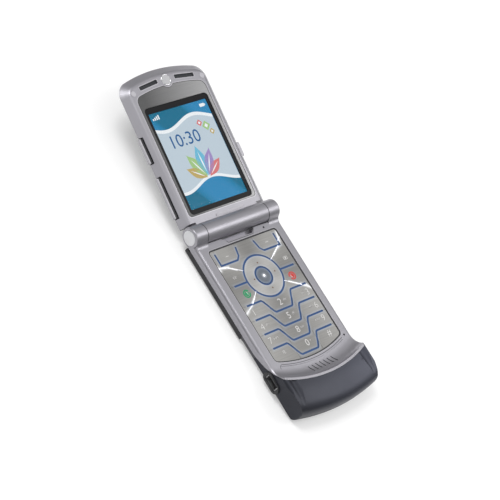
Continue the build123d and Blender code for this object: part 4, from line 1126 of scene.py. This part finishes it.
FINISHES = (
    # Its partings and grooves carry painted shade as dark lines.
    ShellFinish("housing_silver", (0.342, 0.335, 0.364), 0.68, 0.37, grain_size=9000, relief=0.04,
                nodes=("base_front_housing", "flip_inner_housing")),
    # Its fade paints shade on the chin's left side and light on its right.
    Finish("chin_blue_grey", (0.038, 0.040, 0.053), 0.5, 0.42, grain_size=9000, contrast=0.14,
           fade=PaintedShading((1, 0, 0), -26.0, 22.0, 0.75, 1.5), nodes=("chin_cover",)),
    Finish("cover_dark", (0.060, 0.062, 0.076), 0.5, 0.35, grain_size=9000, contrast=0.14,
           nodes=("flip_outer_cover",)),
    Finish("battery_cover_dark", (0.015, 0.015, 0.018), 0.2, 0.42, grain_size=8000, contrast=0.2,
           nodes=("battery_cover",)),
    Finish("rear_dark", (0.055, 0.057, 0.066), 0.0, 0.5, grain_size=7000, contrast=0.2,
           nodes=("base_rear_housing",)),
    KeypadFinish("keypad_nickel", (0.285, 0.280, 0.270), roughness=0.34, contrast=0.55, relief=0.10,
                 glints=STREAK_GLINTS, nodes=KEYPAD_NODES),
    # Lighter copy of the keypad's nickel: painted light on the ring.
    KeypadFinish("ring_nickel_painted_light", (0.420, 0.415, 0.405), glints=STREAK_GLINTS[:1], sheen=0.2,
                 nodes=("nav_ring",)),
    # Darker, bluish copy of the keypad's nickel: painted shade on the middle key.
    KeypadFinish("select_nickel_painted_shade", (0.165, 0.185, 0.215), glints=(SELECT_GLINT,), sheen=0.1,
                 nodes=("select_key",)),
    EdgeFinish("side_key", (0.020, 0.020, 0.023), 0.3, 0.4, nodes=("volume_rocker", "smart_key")),
    Finish("voice_key_silver", (0.40, 0.39, 0.42), 0.6, 0.36, contrast=0.08, nodes=("voice_key",)),
    # Painted shade: a dark band put in the gaps round the keypad and the surround.
    Finish("painted_shade_dark", (0.030, 0.030, 0.034), 0.0, 0.5, contrast=0.1),
    # Painted highlight: a lighter band on the edges round the keypad, the surround and the earpiece slots.
    InkFinish("painted_highlight_grey", (0.50, 0.49, 0.52), 0.6, 0.34),
    Finish("cap_white", (0.70, 0.70, 0.72), 0.3, 0.3, contrast=0.04, nodes=("hinge_end_caps",)),
    Finish("light_guide_blue", (0.018, 0.040, 0.110), 0.0, 0.4, contrast=0.1, glow=(0.027, 0.056, 0.122),
           specular=0.2, nodes=("key_light_pad",)),
    # Painted light: white that glows though no lamp is there, for the glints in the partings and the middle
    # key's dot.
    Finish("painted_glow_white", (0.8, 0.8, 0.85), 0.0, 0.3, contrast=0.05, glow=(0.9, 0.92, 1.0)),
    # Its fade paints shade on the surround's left and a sheen on its right.
    Finish("surround_grey", (0.215, 0.215, 0.217), 0.7, 0.36, grain=Grain.BRUSHED_ACROSS, grain_size=5200,
           contrast=0.5, relief=0.08, fade=PaintedShading((1, 0, 0), -16.0, 19.0, 0.45, 1.55),
           nodes=("display_surround",)),
    Finish("bezel_black", (0.006, 0.006, 0.007), 0.0, 0.35, specular=0.16, grain_size=3000, contrast=0.1,
           relief=0.0, nodes=("display_bezel",)),
    ScreenFinish("screen", (0.005, 0.015, 0.02), 0.0, 0.25, specular=0.08, nodes=("main_display",)),
    Finish("sub_screen", (0.012, 0.016, 0.022), 0.0, 0.15, coat=0.5, contrast=0.1, relief=0.0,
           nodes=("outer_display",)),
    Finish("lens_glass", (0.010, 0.011, 0.013), 0.0, 0.12, coat=0.2, contrast=0.0, relief=0.0,
           nodes=("outer_lens",)),
    InkFinish("screen_window", (0.10, 0.12, 0.14), 0.0, 0.08, alpha=0.06),
    Finish("chrome", (0.72, 0.72, 0.74), 1.0, 0.12, contrast=0.03, relief=0.02,
           nodes=("badge_disc", "camera_ring")),
    Finish("steel", (0.42, 0.42, 0.43), 0.9, 0.3, grain=Grain.BRUSHED_ALONG, grain_size=4000, contrast=0.3,
           nodes=STEEL_NODES),
    Finish("gold_contact", (0.85, 0.60, 0.22), 1.0, 0.25, contrast=0.1),
    Finish("brass", (0.62, 0.46, 0.20), 1.0, 0.3, contrast=0.15, nodes=("motor_weight",)),
    Finish("black_plastic", (0.030, 0.030, 0.033), 0.0, 0.55, grain_size=7000, contrast=0.3, relief=0.1,
           nodes=BLACK_NODES),
    Finish("grey_plastic", (0.30, 0.29, 0.33), 0.0, 0.5, grain_size=7000, contrast=0.15, relief=0.08,
           nodes=("hinge_stop",)),
    Finish("rubber_grey", (0.44, 0.43, 0.46), 0.0, 0.6, grain_size=5000, contrast=0.15, relief=0.15,
           nodes=("flip_bumpers",)),
    Finish("grille_mesh", (0.020, 0.022, 0.026), 0.3, 0.5, grain_size=2600, contrast=0.9, relief=0.4,
           nodes=("earpiece_grilles",)),
    Finish("board_green", (0.030, 0.120, 0.060), 0.0, 0.4, coat=0.3, grain_size=1500, contrast=0.3,
           nodes=("main_board", "flip_board")),
    Finish("copper_film", (0.42, 0.20, 0.08), 0.3, 0.35, contrast=0.1, nodes=("hinge_flex",)),
    Finish("polyester_film", (0.55, 0.58, 0.60), 0.1, 0.25, contrast=0.05, nodes=("dome_sheet",)),
    Finish("battery_grey", (0.10, 0.10, 0.11), 0.0, 0.5, grain_size=6000, contrast=0.2, nodes=("battery",)),
    InkFinish("legend_light", (0.60, 0.59, 0.58), 0.0, 0.4),
    InkFinish("legend_shadow", (0.165, 0.160, 0.160), 0.0, 0.5),
    InkFinish("legend_brown", (0.16, 0.10, 0.07), 0.0, 0.5),
    InkFinish("icon_green", (0.0, 0.230, 0.085), 0.0, 0.4, glow=(0.0, 0.03, 0.012)),
    InkFinish("icon_red", (0.480, 0.035, 0.030), 0.0, 0.4, glow=(0.05, 0.0, 0.0)),
    *(PictureFinish(f"picture_{name}", unlit, glow=lit) for name, (unlit, lit) in PICTURE_COLOURS.items()),
)


@dataclass
class Palette:
    """All finishes as materials, made once."""

    effects: Effects
    made: dict[str, bpy.types.Material] = field(init=False)

    def __post_init__(self) -> None:
        """Builds every finish."""
        self.made = {finish.name: finish.build(self.effects) for finish in FINISHES}

    def dress(self) -> None:
        """Gives each CAD node its finish, in the node's own material slots."""
        for finish in FINISHES:
            for node in finish.nodes:
                for place in frame["nodes"][node].material_slots:
                    place.material = self.made[finish.name]
        left = set(frame["nodes"]) - {node for finish in FINISHES for node in finish.nodes}
        log.info("finishes on %d nodes, left without: %s", len(frame["nodes"]) - len(left), sorted(left))


# ---------------------------------------------------------------- sub-assemblies


@dataclass
class Dressing:
    """Thin pieces that are added to one half of the phone."""

    palette: Palette
    half: ClassVar[Half]

    def placed(self, points: np.ndarray) -> np.ndarray:
        """Carries points from the half's frame into the model's frame.

        A point (x, y, z) of the half turns about the hinge axis by its angle a,
        (x, y cos a - z sin a, y sin a + z cos a), and is moved to the hinge.

        Args:
            points: rows of x, y, z in millimetres in the half's frame.

        Returns:
            Rows of x, y, z in metres in the model's frame.
        """
        c, s = math.cos(self.half.rise), math.sin(self.half.rise)
        turn = np.array([[1, 0, 0], [0, c, -s], [0, s, c]])
        return (points @ turn.T + HINGE) * MM

    def piece(self, name: str, slot: str, layers: dict[str, list[Solid]], body: str = "",
              smooth: bool = False) -> None:
        """Makes one piece of closed solids with outward faces, and lets it ride.

        Args:
            name: piece name.
            slot: not used.
            layers: solids by the name of their finish.
            body: CAD body that carries the piece, if it isn't the half's own.
            smooth: whether the faces are shaded smooth.
        """
        body = body or self.half.body
        mesh = bpy.data.meshes.new(name)
        points, faces, marks, first = [], [], [], 0
        for mark, (finish, solids) in enumerate(layers.items()):
            mesh.materials.append(self.palette.made[finish])
            for corners, sides in solids:
                points.append(corners)
                faces += [tuple(n + first for n in side) for side in sides]
                marks += [mark] * len(sides)
                first += len(corners)
        mesh.from_pydata(self.placed(np.vstack(points)).tolist(), [], faces)
        mesh.polygons.foreach_set("material_index", marks)
        closed = bmesh.new()
        closed.from_mesh(mesh)
        bmesh.ops.remove_doubles(closed, verts=closed.verts, dist=MERGE)
        bmesh.ops.recalc_face_normals(closed, faces=closed.faces)
        closed.to_mesh(mesh)
        closed.free()
        mesh.polygons.foreach_set("use_smooth", [smooth] * len(mesh.polygons))
        piece = bpy.data.objects.new(name, mesh)
        bpy.context.collection.objects.link(piece)
        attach(piece, body)
        log.info("%s rides on %s", name, body)


# ---------------------------------------------------------------- keypad


@dataclass(frozen=True)
class Legend:
    """One line of characters printed on a key: its text, middle and height."""

    text: str
    x: float
    y: float
    size: float


@dataclass
class Keypad(Dressing):
    """Printed legends and icons of the keypad, painted glints along its partings, and painted shade and
    highlight round its edge, in millimetres of the base frame.
    """

    half: ClassVar[Half] = Half.BASE
    ink: float = 0.012
    shadow_spread: float = 0.10
    digit_size: float = 4.5
    letters_size: float = 1.65
    letters_up: float = 0.55
    letters_aside: float = 1.75
    letters_pitch: float = 0.45
    letters_turn_x: float = 8.0
    clear_legend: Legend = Legend("clr", -15.4, -23.5, 2.3)
    icon_r: float = 1.72
    icon_stroke: float = 0.62
    icon_gap: float = 0.30
    icon_disc: Pair = (2.30, 2.28)
    handset_r: float = 0.62
    handset_turn: float = 1.1
    handset_aside: float = -0.15
    handset_grip: float = 0.24
    handset_ends: float = 0.34
    camera: Pair = (16.9, -23.4)
    camera_body: Box = (2.5, 1.6, 0.35)
    camera_inside: Box = (2.1, 1.2, 0.2)
    camera_lens: Box = (0.9, 0.9, 0.44)
    dash: Box = (1.9, 0.3, 0.12)
    dashes: tuple[tuple[str, Pair], ...] = (
        ("left_soft_key", (-12.6, -13.4)),
        ("right_soft_key", (12.4, -13.4)),
    )
    spot: Box = (0.75, 0.75, 0.2)
    spots: tuple[Pair, ...] = ((0.8, -20.9), (7.1, -27.2), (-5.9, -27.5), (0.8, -33.9))
    select: Pair = (0.2, -27.4)
    select_dot: Pair = (1.05, 1.0)
    plan: ArchedPlan = ArchedPlan(21.1, -8.75, -68.6, 61.5, 1.4, 2.4)
    # Painted shade round the keypad's edge, sunk beside the keys and flat on the deck, and a painted
    # highlight on the deck beyond it.
    sunk_shade: Band = Band(0.09, -0.36, KEY_TOP - 0.15, KEY_TOP + 0.010)
    deck_shade: Band = Band(0.30, 0.11, -0.1, 0.012)
    rim: Band = Band(0.50, 0.31, -0.1, 0.015)
    streak_low: float = -0.64
    streak_high: float = -0.32
    streak_width: float = 0.14
    streak_widening: float = 0.09
    streaks: tuple[tuple[Pair, ...], ...] = (
        ((-9.05, -22.0), (-16.3, -18.1), (-21.0, -17.27)),
        ((8.85, -21.7), (17.1, -16.85)),
        ((18.5, -14.65), (21.0, -13.0)),
        ((-9.05, -32.85), (-14.3, -37.4)),
        ((9.05, -32.85), (14.4, -35.9), (17.0, -37.55)),
    )
    digits: tuple[tuple[str, str, float, float, str], ...] = (
        ("key_1", "1", -16.5, -41.4, ""),
        ("key_2", "2", 0.0, -41.2, "abc"),
        ("key_3", "3", 17.4, -41.6, "def"),
        ("key_4", "4", -16.7, -48.7, "ghi"),
        ("key_5", "5", 0.2, -48.3, "jkl"),
        ("key_6", "6", 17.6, -48.6, "mno"),
        ("key_7", "7", -16.9, -55.6, "pqrs"),
        ("key_8", "8", 0.4, -55.5, "tuv"),
        ("key_9", "9", 17.2, -55.2, "wxyz"),
        ("star_key", "*", -13.6, -63.2, ""),
        ("zero_key", "0", 1.0, -62.6, "+"),
        ("hash_key", "#", 15.4, -62.4, ""),
    )

    def print_legends(self, node: str, *legends: Legend) -> None:
        """Prints characters on a key as two thin layers, a dark outline under a light face.

        Args:
            node: the key.
            legends: its lines of characters.
        """
        layers = {}
        for finish, spread, up in (("legend_light", 0.0, 1.2), ("legend_shadow", self.shadow_spread, 0.5)):
            z = KEY_TOP + up * self.ink
            layers[finish] = [lettering(legend.text, legend.size, (legend.x, legend.y, z), self.ink, spread)
                              for legend in legends]
        self.piece(f"print_{node}", "keypad_nickel", layers, node)

    def print_outlines(self, name: str, node: str, finish: str, *outlines: np.ndarray) -> None:
        """Prints filled outlines on a key as thin plates.

        Args:
            name: piece name.
            node: the key.
            finish: ink.
            outlines: rows of x, y.
        """
        plates = [plate(outline, KEY_TOP - SINK, KEY_TOP + self.ink) for outline in outlines]
        self.piece(name, "keypad_nickel", {finish: plates}, node)

    def print_handset(self, name: str, node: str, centre: Pair, turn: float, finish: str) -> None:
        """Round call icon: an open ring about a disc with a small handset.

        Args:
            name: piece name.
            node: key that carries the icon.
            centre: middle of the icon.
            turn: how far the handset is turned, in degrees.
            finish: ink.
        """
        start = math.radians(turn)
        ring = arc(centre, self.icon_r, start + self.icon_gap, start + 2 * np.pi - self.icon_gap, 30)
        disc = stadium(centre, *self.icon_disc)
        self.print_outlines(name, node, finish, ribbon(ring, self.icon_stroke), disc)
        middle, turns = (centre[0] + self.handset_aside, centre[1]), self.handset_turn
        grip = arc(middle, self.handset_r, start - turns, start + turns, 14)
        widths = self.handset_grip + self.handset_ends * np.linspace(-1, 1, len(grip))**4
        low = KEY_TOP + self.ink
        handset = plate(ribbon(grip, widths), low - SINK, low + self.ink / 2)
        self.piece(f"{name}_handset", "keypad_nickel", {"legend_light": [handset]}, node)

    def print_camera(self) -> None:
        """Camera icon: a round-cornered frame with a lens."""
        sizes = (self.camera_body, self.camera_inside, self.camera_lens)
        body, inside, lens = (rounded_box(self.camera, *size) for size in sizes)
        low, high = KEY_TOP - SINK, KEY_TOP + self.ink
        solids = [frame_band(body, inside, low, high), plate(lens, low, high)]
        self.piece("icon_camera", "keypad_nickel", {"legend_light": solids}, "camera_key")

    def streak(self, path: tuple[Pair, ...]) -> Solid:
        """Painted glint in a parting: a glowing strip along a path, which widens to its end.

        Args:
            path: corners of the path.

        Returns:
            Vertices and faces.
        """
        corners = np.array(path)
        run = np.concatenate([[0.0], np.cumsum(np.hypot(*np.diff(corners, axis=0).T))])
        steps = np.linspace(0, run[-1], 16)
        line = np.column_stack([np.interp(steps, run, corners[:, axis]) for axis in (0, 1)])
        widths = self.streak_width + self.streak_widening * steps / run[-1]
        return plate(ribbon(line, widths), self.streak_low, self.streak_high)

    def build(self) -> None:
        """All print, the painted glints in the partings, and the painted shade and highlight round the
        keypad's edge.
        """
        for node, digit, x, y, letters in self.digits:
            legends = [Legend(digit, x, y, self.digit_size)]
            if letters:
                aside = self.letters_aside + self.letters_pitch * len(letters)
                letters_x = x + math.copysign(aside, self.letters_turn_x - x)
                legends.append(Legend(letters, letters_x, y + self.letters_up, self.letters_size))
            self.print_legends(node, *legends)
        self.print_legends("clear_key", self.clear_legend)
        self.print_handset("icon_send", "send_key", (-14.2, -32.3), 20, "icon_green")
        self.print_handset("icon_end", "end_key", (14.7, -32.1), 200, "icon_red")
        self.print_camera()
        for node, middle in self.dashes:
            self.print_outlines(f"mark_{node}", node, "legend_light", rounded_box(middle, *self.dash))
        spots = [rounded_box(middle, *self.spot, lean=45) for middle in self.spots]
        self.print_outlines("marks_nav", "nav_ring", "legend_brown", *spots)
        # The middle key's dot glows white: painted light.
        dot = stadium(self.select, *self.select_dot)
        self.print_outlines("mark_select", "select_key", "painted_glow_white", dot)
        # Glowing strips in the partings: painted glints.
        streaks = [self.streak(path) for path in self.streaks]
        self.piece("parting_painted_glints", "light_guide_blue", {"painted_glow_white": streaks})
        # Dark bands of painted shade and a light band of painted highlight round the keypad.
        seams = [band.around(self.plan.loop) for band in (self.sunk_shade, self.deck_shade)]
        self.piece("keypad_painted_shade", "black_plastic", {"painted_shade_dark": seams})
        self.piece("keypad_painted_highlight", "housing_silver", {"painted_highlight_grey": [self.rim.around(self.plan.loop)]})


# ---------------------------------------------------------------- port


@dataclass
class Port(Dressing):
    """Contacts on the tongue of the side port, in millimetres of the base frame."""

    half: ClassVar[Half] = Half.BASE
    x: float = -23.1
    y: float = -71.8
    tongue_z: float = -2.91
    count: int = 5
    pitch: float = 0.8
    contact: Box = (2.6, 0.36, 0.1)
    thickness: float = 0.04

    def build(self) -> None:
        """One strip for each contact."""
        places = self.y + (np.arange(self.count) - (self.count - 1) / 2) * self.pitch
        low, high = self.tongue_z, self.tongue_z + self.thickness
        strips = [plate(rounded_box((self.x, y), *self.contact), low, high) for y in places]
        self.piece("port_contacts", "brass", {"gold_contact": strips})


# ---------------------------------------------------------------- flip


@dataclass
class Flip(Dressing):
    """Trim and picture of the flip, in millimetres of the flip frame."""

    half: ClassVar[Half] = Half.FLIP
    plan: ArchedPlan = ArchedPlan(20.9, 8.3, 68.1, 90.0, 1.8, 3.6)
    lobe_r: float = 3.5
    # Painted highlight round the surround, and painted shade in the gap at its edge.
    edge_highlight: Band = Band(0.30, 0.0, FLIP_FACE - 0.1, FLIP_FACE + 0.04)
    edge_shade: Band = Band(0.02, -0.20, FLIP_FACE - 0.2, FLIP_FACE - 0.10)
    slot: Pair = (10.9, 70.05)
    slot_long: float = 11.4
    slot_high: float = 1.9
    slot_round: float = 0.4
    slot_lean: float = 6.5
    # Painted highlight round each earpiece slot.
    slot_highlight: Band = Band(0.28, -0.01, FLIP_FACE - 0.1, FLIP_FACE + 0.05)
    bar_count: int = 17
    bar_reach: float = 5.0
    bar: Box = (0.09, 1.7, 0.03)
    bar_low: float = -0.86
    bar_high: float = -0.82
    badge: Pair = (0.0, 70.3)
    badge_r: float = 2.43
    badge_rim: Pair = (0.2, 0.1)
    badge_z: float = -0.17
    screen_half: float = 17.7
    screen_low: float = 11.4
    screen_top: float = 57.4
    panel_z: float = -1.4
    margin: float = 0.1
    window_corner: float = 0.4
    window_low: float = -0.85
    window_high: float = -0.76
    layer: float = 0.012
    hill: Pair = (21.8, 49.4)
    hill_edge: Pair = (20.4, 51.0)
    hill_swing: float = 2.2
    hill_length: float = 5.5
    hill_turns: Pair = (0.4, 1.2)
    fan_root: Pair = (0.6, 22.6)
    fan: tuple[tuple[str, float, float, float], ...] = (
        ("ochre", 148, 12.0, 4.6),
        ("green", 121, 14.0, 5.4),
        ("sky", 92, 15.0, 5.8),
        ("violet", 63, 14.0, 5.2),
        ("red", 36, 12.0, 4.4),
    )
    leaf_middle: float = 0.56
    vein_middle: float = 0.52
    vein_size: Pair = (0.7, 0.12)
    kites: tuple[tuple[str, Pair, float], ...] = (
        ("green", (11.6, 45.6), 3.4),
        ("red", (8.4, 47.6), 2.4),
        ("ochre", (13.6, 42.4), 2.2),
    )
    kite_corner: float = 0.3
    kite_eye: float = 0.45
    eye_corner: float = 0.1
    signal: Pair = (-15.6, 54.6)
    signal_bars: int = 4
    signal_step: Pair = (1.1, 0.2)
    signal_bar: Pair = (0.7, 0.9)
    signal_growth: float = 0.4
    signal_corner: float = 0.1
    cell: Pair = (14.4, 55.1)
    cell_body: Box = (3.0, 1.5, 0.3)
    cell_tip: Box = (0.4, 0.7, 0.1)
    clock: str = "10:30"
    clock_size: float = 8.6
    clock_middle: Pair = (-3.6, 42.2)

    def keyhole(self, margin: float) -> np.ndarray:
        """Outline of the surround, where it gives way to the disc's lobe.

        A point p nearer than R to the lobe's centre c is moved to c + R (p - c) / |p - c|.

        Args:
            margin: how far outwards the outline is moved.

        Returns:
            Rows of x, y.
        """
        loop = self.plan.loop(margin)
        away = loop - self.badge
        distance = np.hypot(*away.T)[:, None]
        reach = self.lobe_r - margin
        return np.where(distance < reach, self.badge + reach * away / distance, loop)

    def slot_outline(self, side: int, margin: float) -> np.ndarray:
        """Outline of the slot on one side, -1 or 1, moved outwards by a margin.

        Args:
            side: -1 on the left, 1 on the right.
            margin: how far outwards.

        Returns:
            Rows of x, y.
        """
        long, high = self.slot_long + 2 * margin, self.slot_high + 2 * margin
        centre = (side * self.slot[0], self.slot[1])
        return rounded_box(centre, long, high, self.slot_round + max(margin, 0), -side * self.slot_lean)

    def grille(self, side: int) -> list[Solid]:
        """Upright bars in the slot on one side.

        Args:
            side: -1 on the left, 1 on the right.

        Returns:
            One solid for each bar.
        """
        steps = np.linspace(-self.bar_reach, self.bar_reach, self.bar_count)
        lean = -side * self.slot_lean
        middles = set_down(np.column_stack([steps, 0 * steps]), (side * self.slot[0], self.slot[1]), lean)
        outlines = [rounded_box(middle, *self.bar, lean) for middle in middles]
        return [plate(outline, self.bar_low, self.bar_high) for outline in outlines]

    def trim(self) -> None:
        """Painted highlights round the slots and the surround, painted shade at the surround's edge, the
        disc's chrome rim, and the grilles' bars.
        """
        rims = [self.slot_highlight.around(partial(self.slot_outline, side)) for side in (-1, 1)]
        self.piece("slot_painted_highlights", "housing_silver", {"painted_highlight_grey": rims})
        self.piece("surround_painted_highlight", "housing_silver", {"painted_highlight_grey": [self.edge_highlight.around(self.keyhole)]})
        self.piece("surround_painted_shade", "black_plastic", {"painted_shade_dark": [self.edge_shade.around(self.keyhole)]})
        profile = arc((0, 0), 1.0, 0, np.pi, 9) * self.badge_rim + (self.badge_r, self.badge_z)
        self.piece("badge_rim", "chrome", {"chrome": [spun(profile, self.badge)]}, smooth=True)
        self.piece("grille_bars", "grille_mesh", {"rear_dark": self.grille(-1) + self.grille(1)})

    def picture_layer(self, name: str, level: int, colour: str, *outlines: np.ndarray) -> None:
        """One thin layer of the picture, level steps above the panel.

        Args:
            name: what it shows.
            level: steps above the panel.
            colour: name of its colour.
            outlines: rows of x, y.
        """
        low = self.panel_z + level * self.layer
        plates = [plate(outline, low, low + self.layer) for outline in outlines]
        self.piece(f"picture_{name}", "screen", {f"picture_{colour}": plates})

    def hills(self, low: float, high: float) -> np.ndarray:
        """Rolling band across the screen: its edges follow y + hill_swing sin(x / hill_length + turn).

        Args:
            low: y of the lower edge's middle.
            high: y of the upper edge's middle.

        Returns:
            Rows of x, y.
        """
        x = np.linspace(-self.screen_half + self.margin, self.screen_half - self.margin, 40)
        upper, lower = (np.column_stack([x, y + self.hill_swing * np.sin(x / self.hill_length + turn)])
                        for y, turn in zip((high, low), self.hill_turns))
        return np.vstack([upper, lower[::-1]])

    def picture(self) -> None:
        """Generic picture: a rolling pale band, a fan of leaves, kites, status marks and a clock."""
        self.picture_layer("band_edge", 0, "white", self.hills(*self.hill_edge))
        self.picture_layer("band", 1, "pale", self.hills(*self.hill))
        for colour, lean, long, wide in self.fan:
            way = long * np.array([math.cos(math.radians(lean)), math.sin(math.radians(lean))])
            leaf, vein = self.fan_root + way * self.leaf_middle, self.fan_root + way * self.vein_middle
            thin = petal(vein, long * self.vein_size[0], wide * self.vein_size[1], lean)
            self.picture_layer(f"leaf_{colour}", 2, colour, petal(leaf, long, wide, lean))
            self.picture_layer(f"vein_{colour}", 3, "white", thin)
        for colour, centre, size in self.kites:
            small = size * self.kite_eye
            kite = rounded_box(centre, size, size, self.kite_corner, lean=45)
            eye = rounded_box(centre, small, small, self.eye_corner, lean=45)
            self.picture_layer(f"kite_{colour}", 2, colour, kite)
            self.picture_layer(f"kite_eye_{colour}", 3, "white", eye)
        self.picture_layer("status", 0, "white", *self.status())
        middle = (*self.clock_middle, self.panel_z + 2.5 * self.layer)
        clock = lettering(self.clock, self.clock_size, middle, self.layer)
        self.piece("picture_clock", "screen", {"picture_blue": [clock]})

    def status(self) -> list[np.ndarray]:
        """Outlines of the signal's rising bars and of the battery mark.

        Returns:
            Rows of x, y for each.
        """
        wide, high = self.signal_bar
        bars = []
        for k in range(self.signal_bars):
            middle = np.add(self.signal, np.multiply(self.signal_step, k))
            bars.append(rounded_box(middle, wide, high + self.signal_growth * k, self.signal_corner))
        tip = (self.cell[0] + (self.cell_body[0] + self.cell_tip[0]) / 2 + 0.1, self.cell[1])
        return [*bars, rounded_box(self.cell, *self.cell_body), rounded_box(tip, *self.cell_tip)]

    def window(self) -> None:
        """Clear window over the display."""
        middle = (0, (self.screen_low + self.screen_top) / 2)
        wide, high = 2 * self.screen_half - self.margin, self.screen_top - self.screen_low - self.margin
        outline = rounded_box(middle, wide, high, self.window_corner)
        window = plate(outline, self.window_low, self.window_high)
        self.piece("display_window", "lens_glass", {"screen_window": [window]})

    def build(self) -> None:
        """Trim, picture and window."""
        self.trim()
        self.picture()
        self.window()


# ---------------------------------------------------------------- studio


@dataclass(frozen=True)
class Lamp:
    """Soft square lamp: its name, its place and side in metres, and its power in watts."""

    name: str
    place: Place
    side: float
    power: float

    def build(self, aim: Place) -> None:
        """Hangs the lamp, aimed at a point.

        Args:
            aim: the point, in metres.
        """
        data = bpy.data.lights.new(self.name, "AREA")
        data.size, data.energy = self.side, self.power
        lamp = bpy.data.objects.new(self.name, data)
        lamp.location = self.place
        lamp.rotation_euler = (Vector(aim) - Vector(self.place)).to_track_quat("-Z", "Y").to_euler()
        bpy.context.collection.objects.link(lamp)


@dataclass
class Studio:
    """Camera, floor, surroundings and lamps, in metres and radians."""

    place: Place = (-0.55675316, -0.14223019, 0.59347529)
    turn: Place = (0.60852508, -0.52955493, -0.64037253)
    lens: float = 135.81373
    sensor: float = 36.0
    clip: Pair = (0.01, 20.0)
    floor_half: float = 4.0
    floor_z: float = -0.0002
    floor_grey: float = 0.66
    floor_roughness: float = 0.9
    dome_rise: Pair = (0.05, 0.90)
    dome_light: Pair = (0.10, 1.0)
    aim: Place = (0.0, 0.03, 0.01)
    lamps: tuple[Lamp, ...] = (
        Lamp("key_lamp", (-0.25, 0.55, 0.85), 0.45, 5.2),
        Lamp("fill_lamp", (-0.75, -0.45, 0.50), 0.5, 1.1),
        Lamp("rim_lamp", (0.55, -0.15, 0.60), 0.35, 1.4),
    )

    def camera(self) -> None:
        """Camera at the viewing place."""
        data = bpy.data.cameras.new("camera")
        data.lens, data.sensor_width = self.lens, self.sensor
        data.clip_start, data.clip_end = self.clip
        camera = bpy.data.objects.new("camera", data)
        camera.location, camera.rotation_euler = self.place, self.turn
        bpy.context.collection.objects.link(camera)
        bpy.context.scene.camera = camera

    def floor(self) -> None:
        """Pale floor that looks white and still takes the shadow."""
        mesh = bpy.data.meshes.new("floor")
        corners = [(x * self.floor_half, y * self.floor_half, self.floor_z)
                   for x, y in ((-1, -1), (1, -1), (1, 1), (-1, 1))]
        mesh.from_pydata(corners, [], [(0, 1, 2, 3)])
        floor = bpy.data.objects.new("floor", mesh)
        bpy.context.collection.objects.link(floor)
        material = bpy.data.materials.new("floor_paper")
        material.use_nodes = True
        paper = Surface(material.node_tree)
        lift = paper.scaled((1 - self.floor_grey,) * 3, paper.rays("Camera", "Glossy", "Transmission"))
        paper.feed({"Base Color": (*(self.floor_grey,) * 3, 1.0), "Roughness": self.floor_roughness,
                    "Emission Strength": 1.0, "Emission Color": lift})
        mesh.materials.append(material)

    def world(self) -> None:
        """White surroundings, which shine brightest from above and fade to the horizon."""
        world = bpy.data.worlds.new("studio")
        bpy.context.scene.world = world
        world.use_nodes = True
        world.node_tree.nodes.clear()
        sky = Wiring(world.node_tree)
        ways = sky.outputs(sky.node("TexCoord"), "Generated")
        height = sky.outputs(sky.node("SeparateXYZ", {0: ways[0]}), "Z")
        dome = sky.ranged(height[0], self.dome_rise, self.dome_light, interpolation_type="SMOOTHSTEP")
        light = sky.node("Background", {"Strength": greatest(sky.rays("Camera", "Transmission"), dome)})
        sky.node("OutputWorld", {"Surface": sky.outputs(light, 0)[0]})

    def build(self) -> None:
        """Camera, floor, surroundings and lamps."""
        self.camera()
        self.floor()
        self.world()
        for lamp in self.lamps:
            lamp.build(self.aim)
        bpy.context.scene.view_settings.view_transform = "Standard"
        log.info("studio made")


def main() -> None:
    """Builds the studio and dresses the phone."""
    logging.basicConfig(level=logging.INFO, format="%(name)s: %(message)s")
    Studio().build()
    palette = Palette(Effects())
    palette.dress()
    for part in (Keypad(palette), Port(palette), Flip(palette)):
        part.build()


if __name__ == "__main__":
    main()
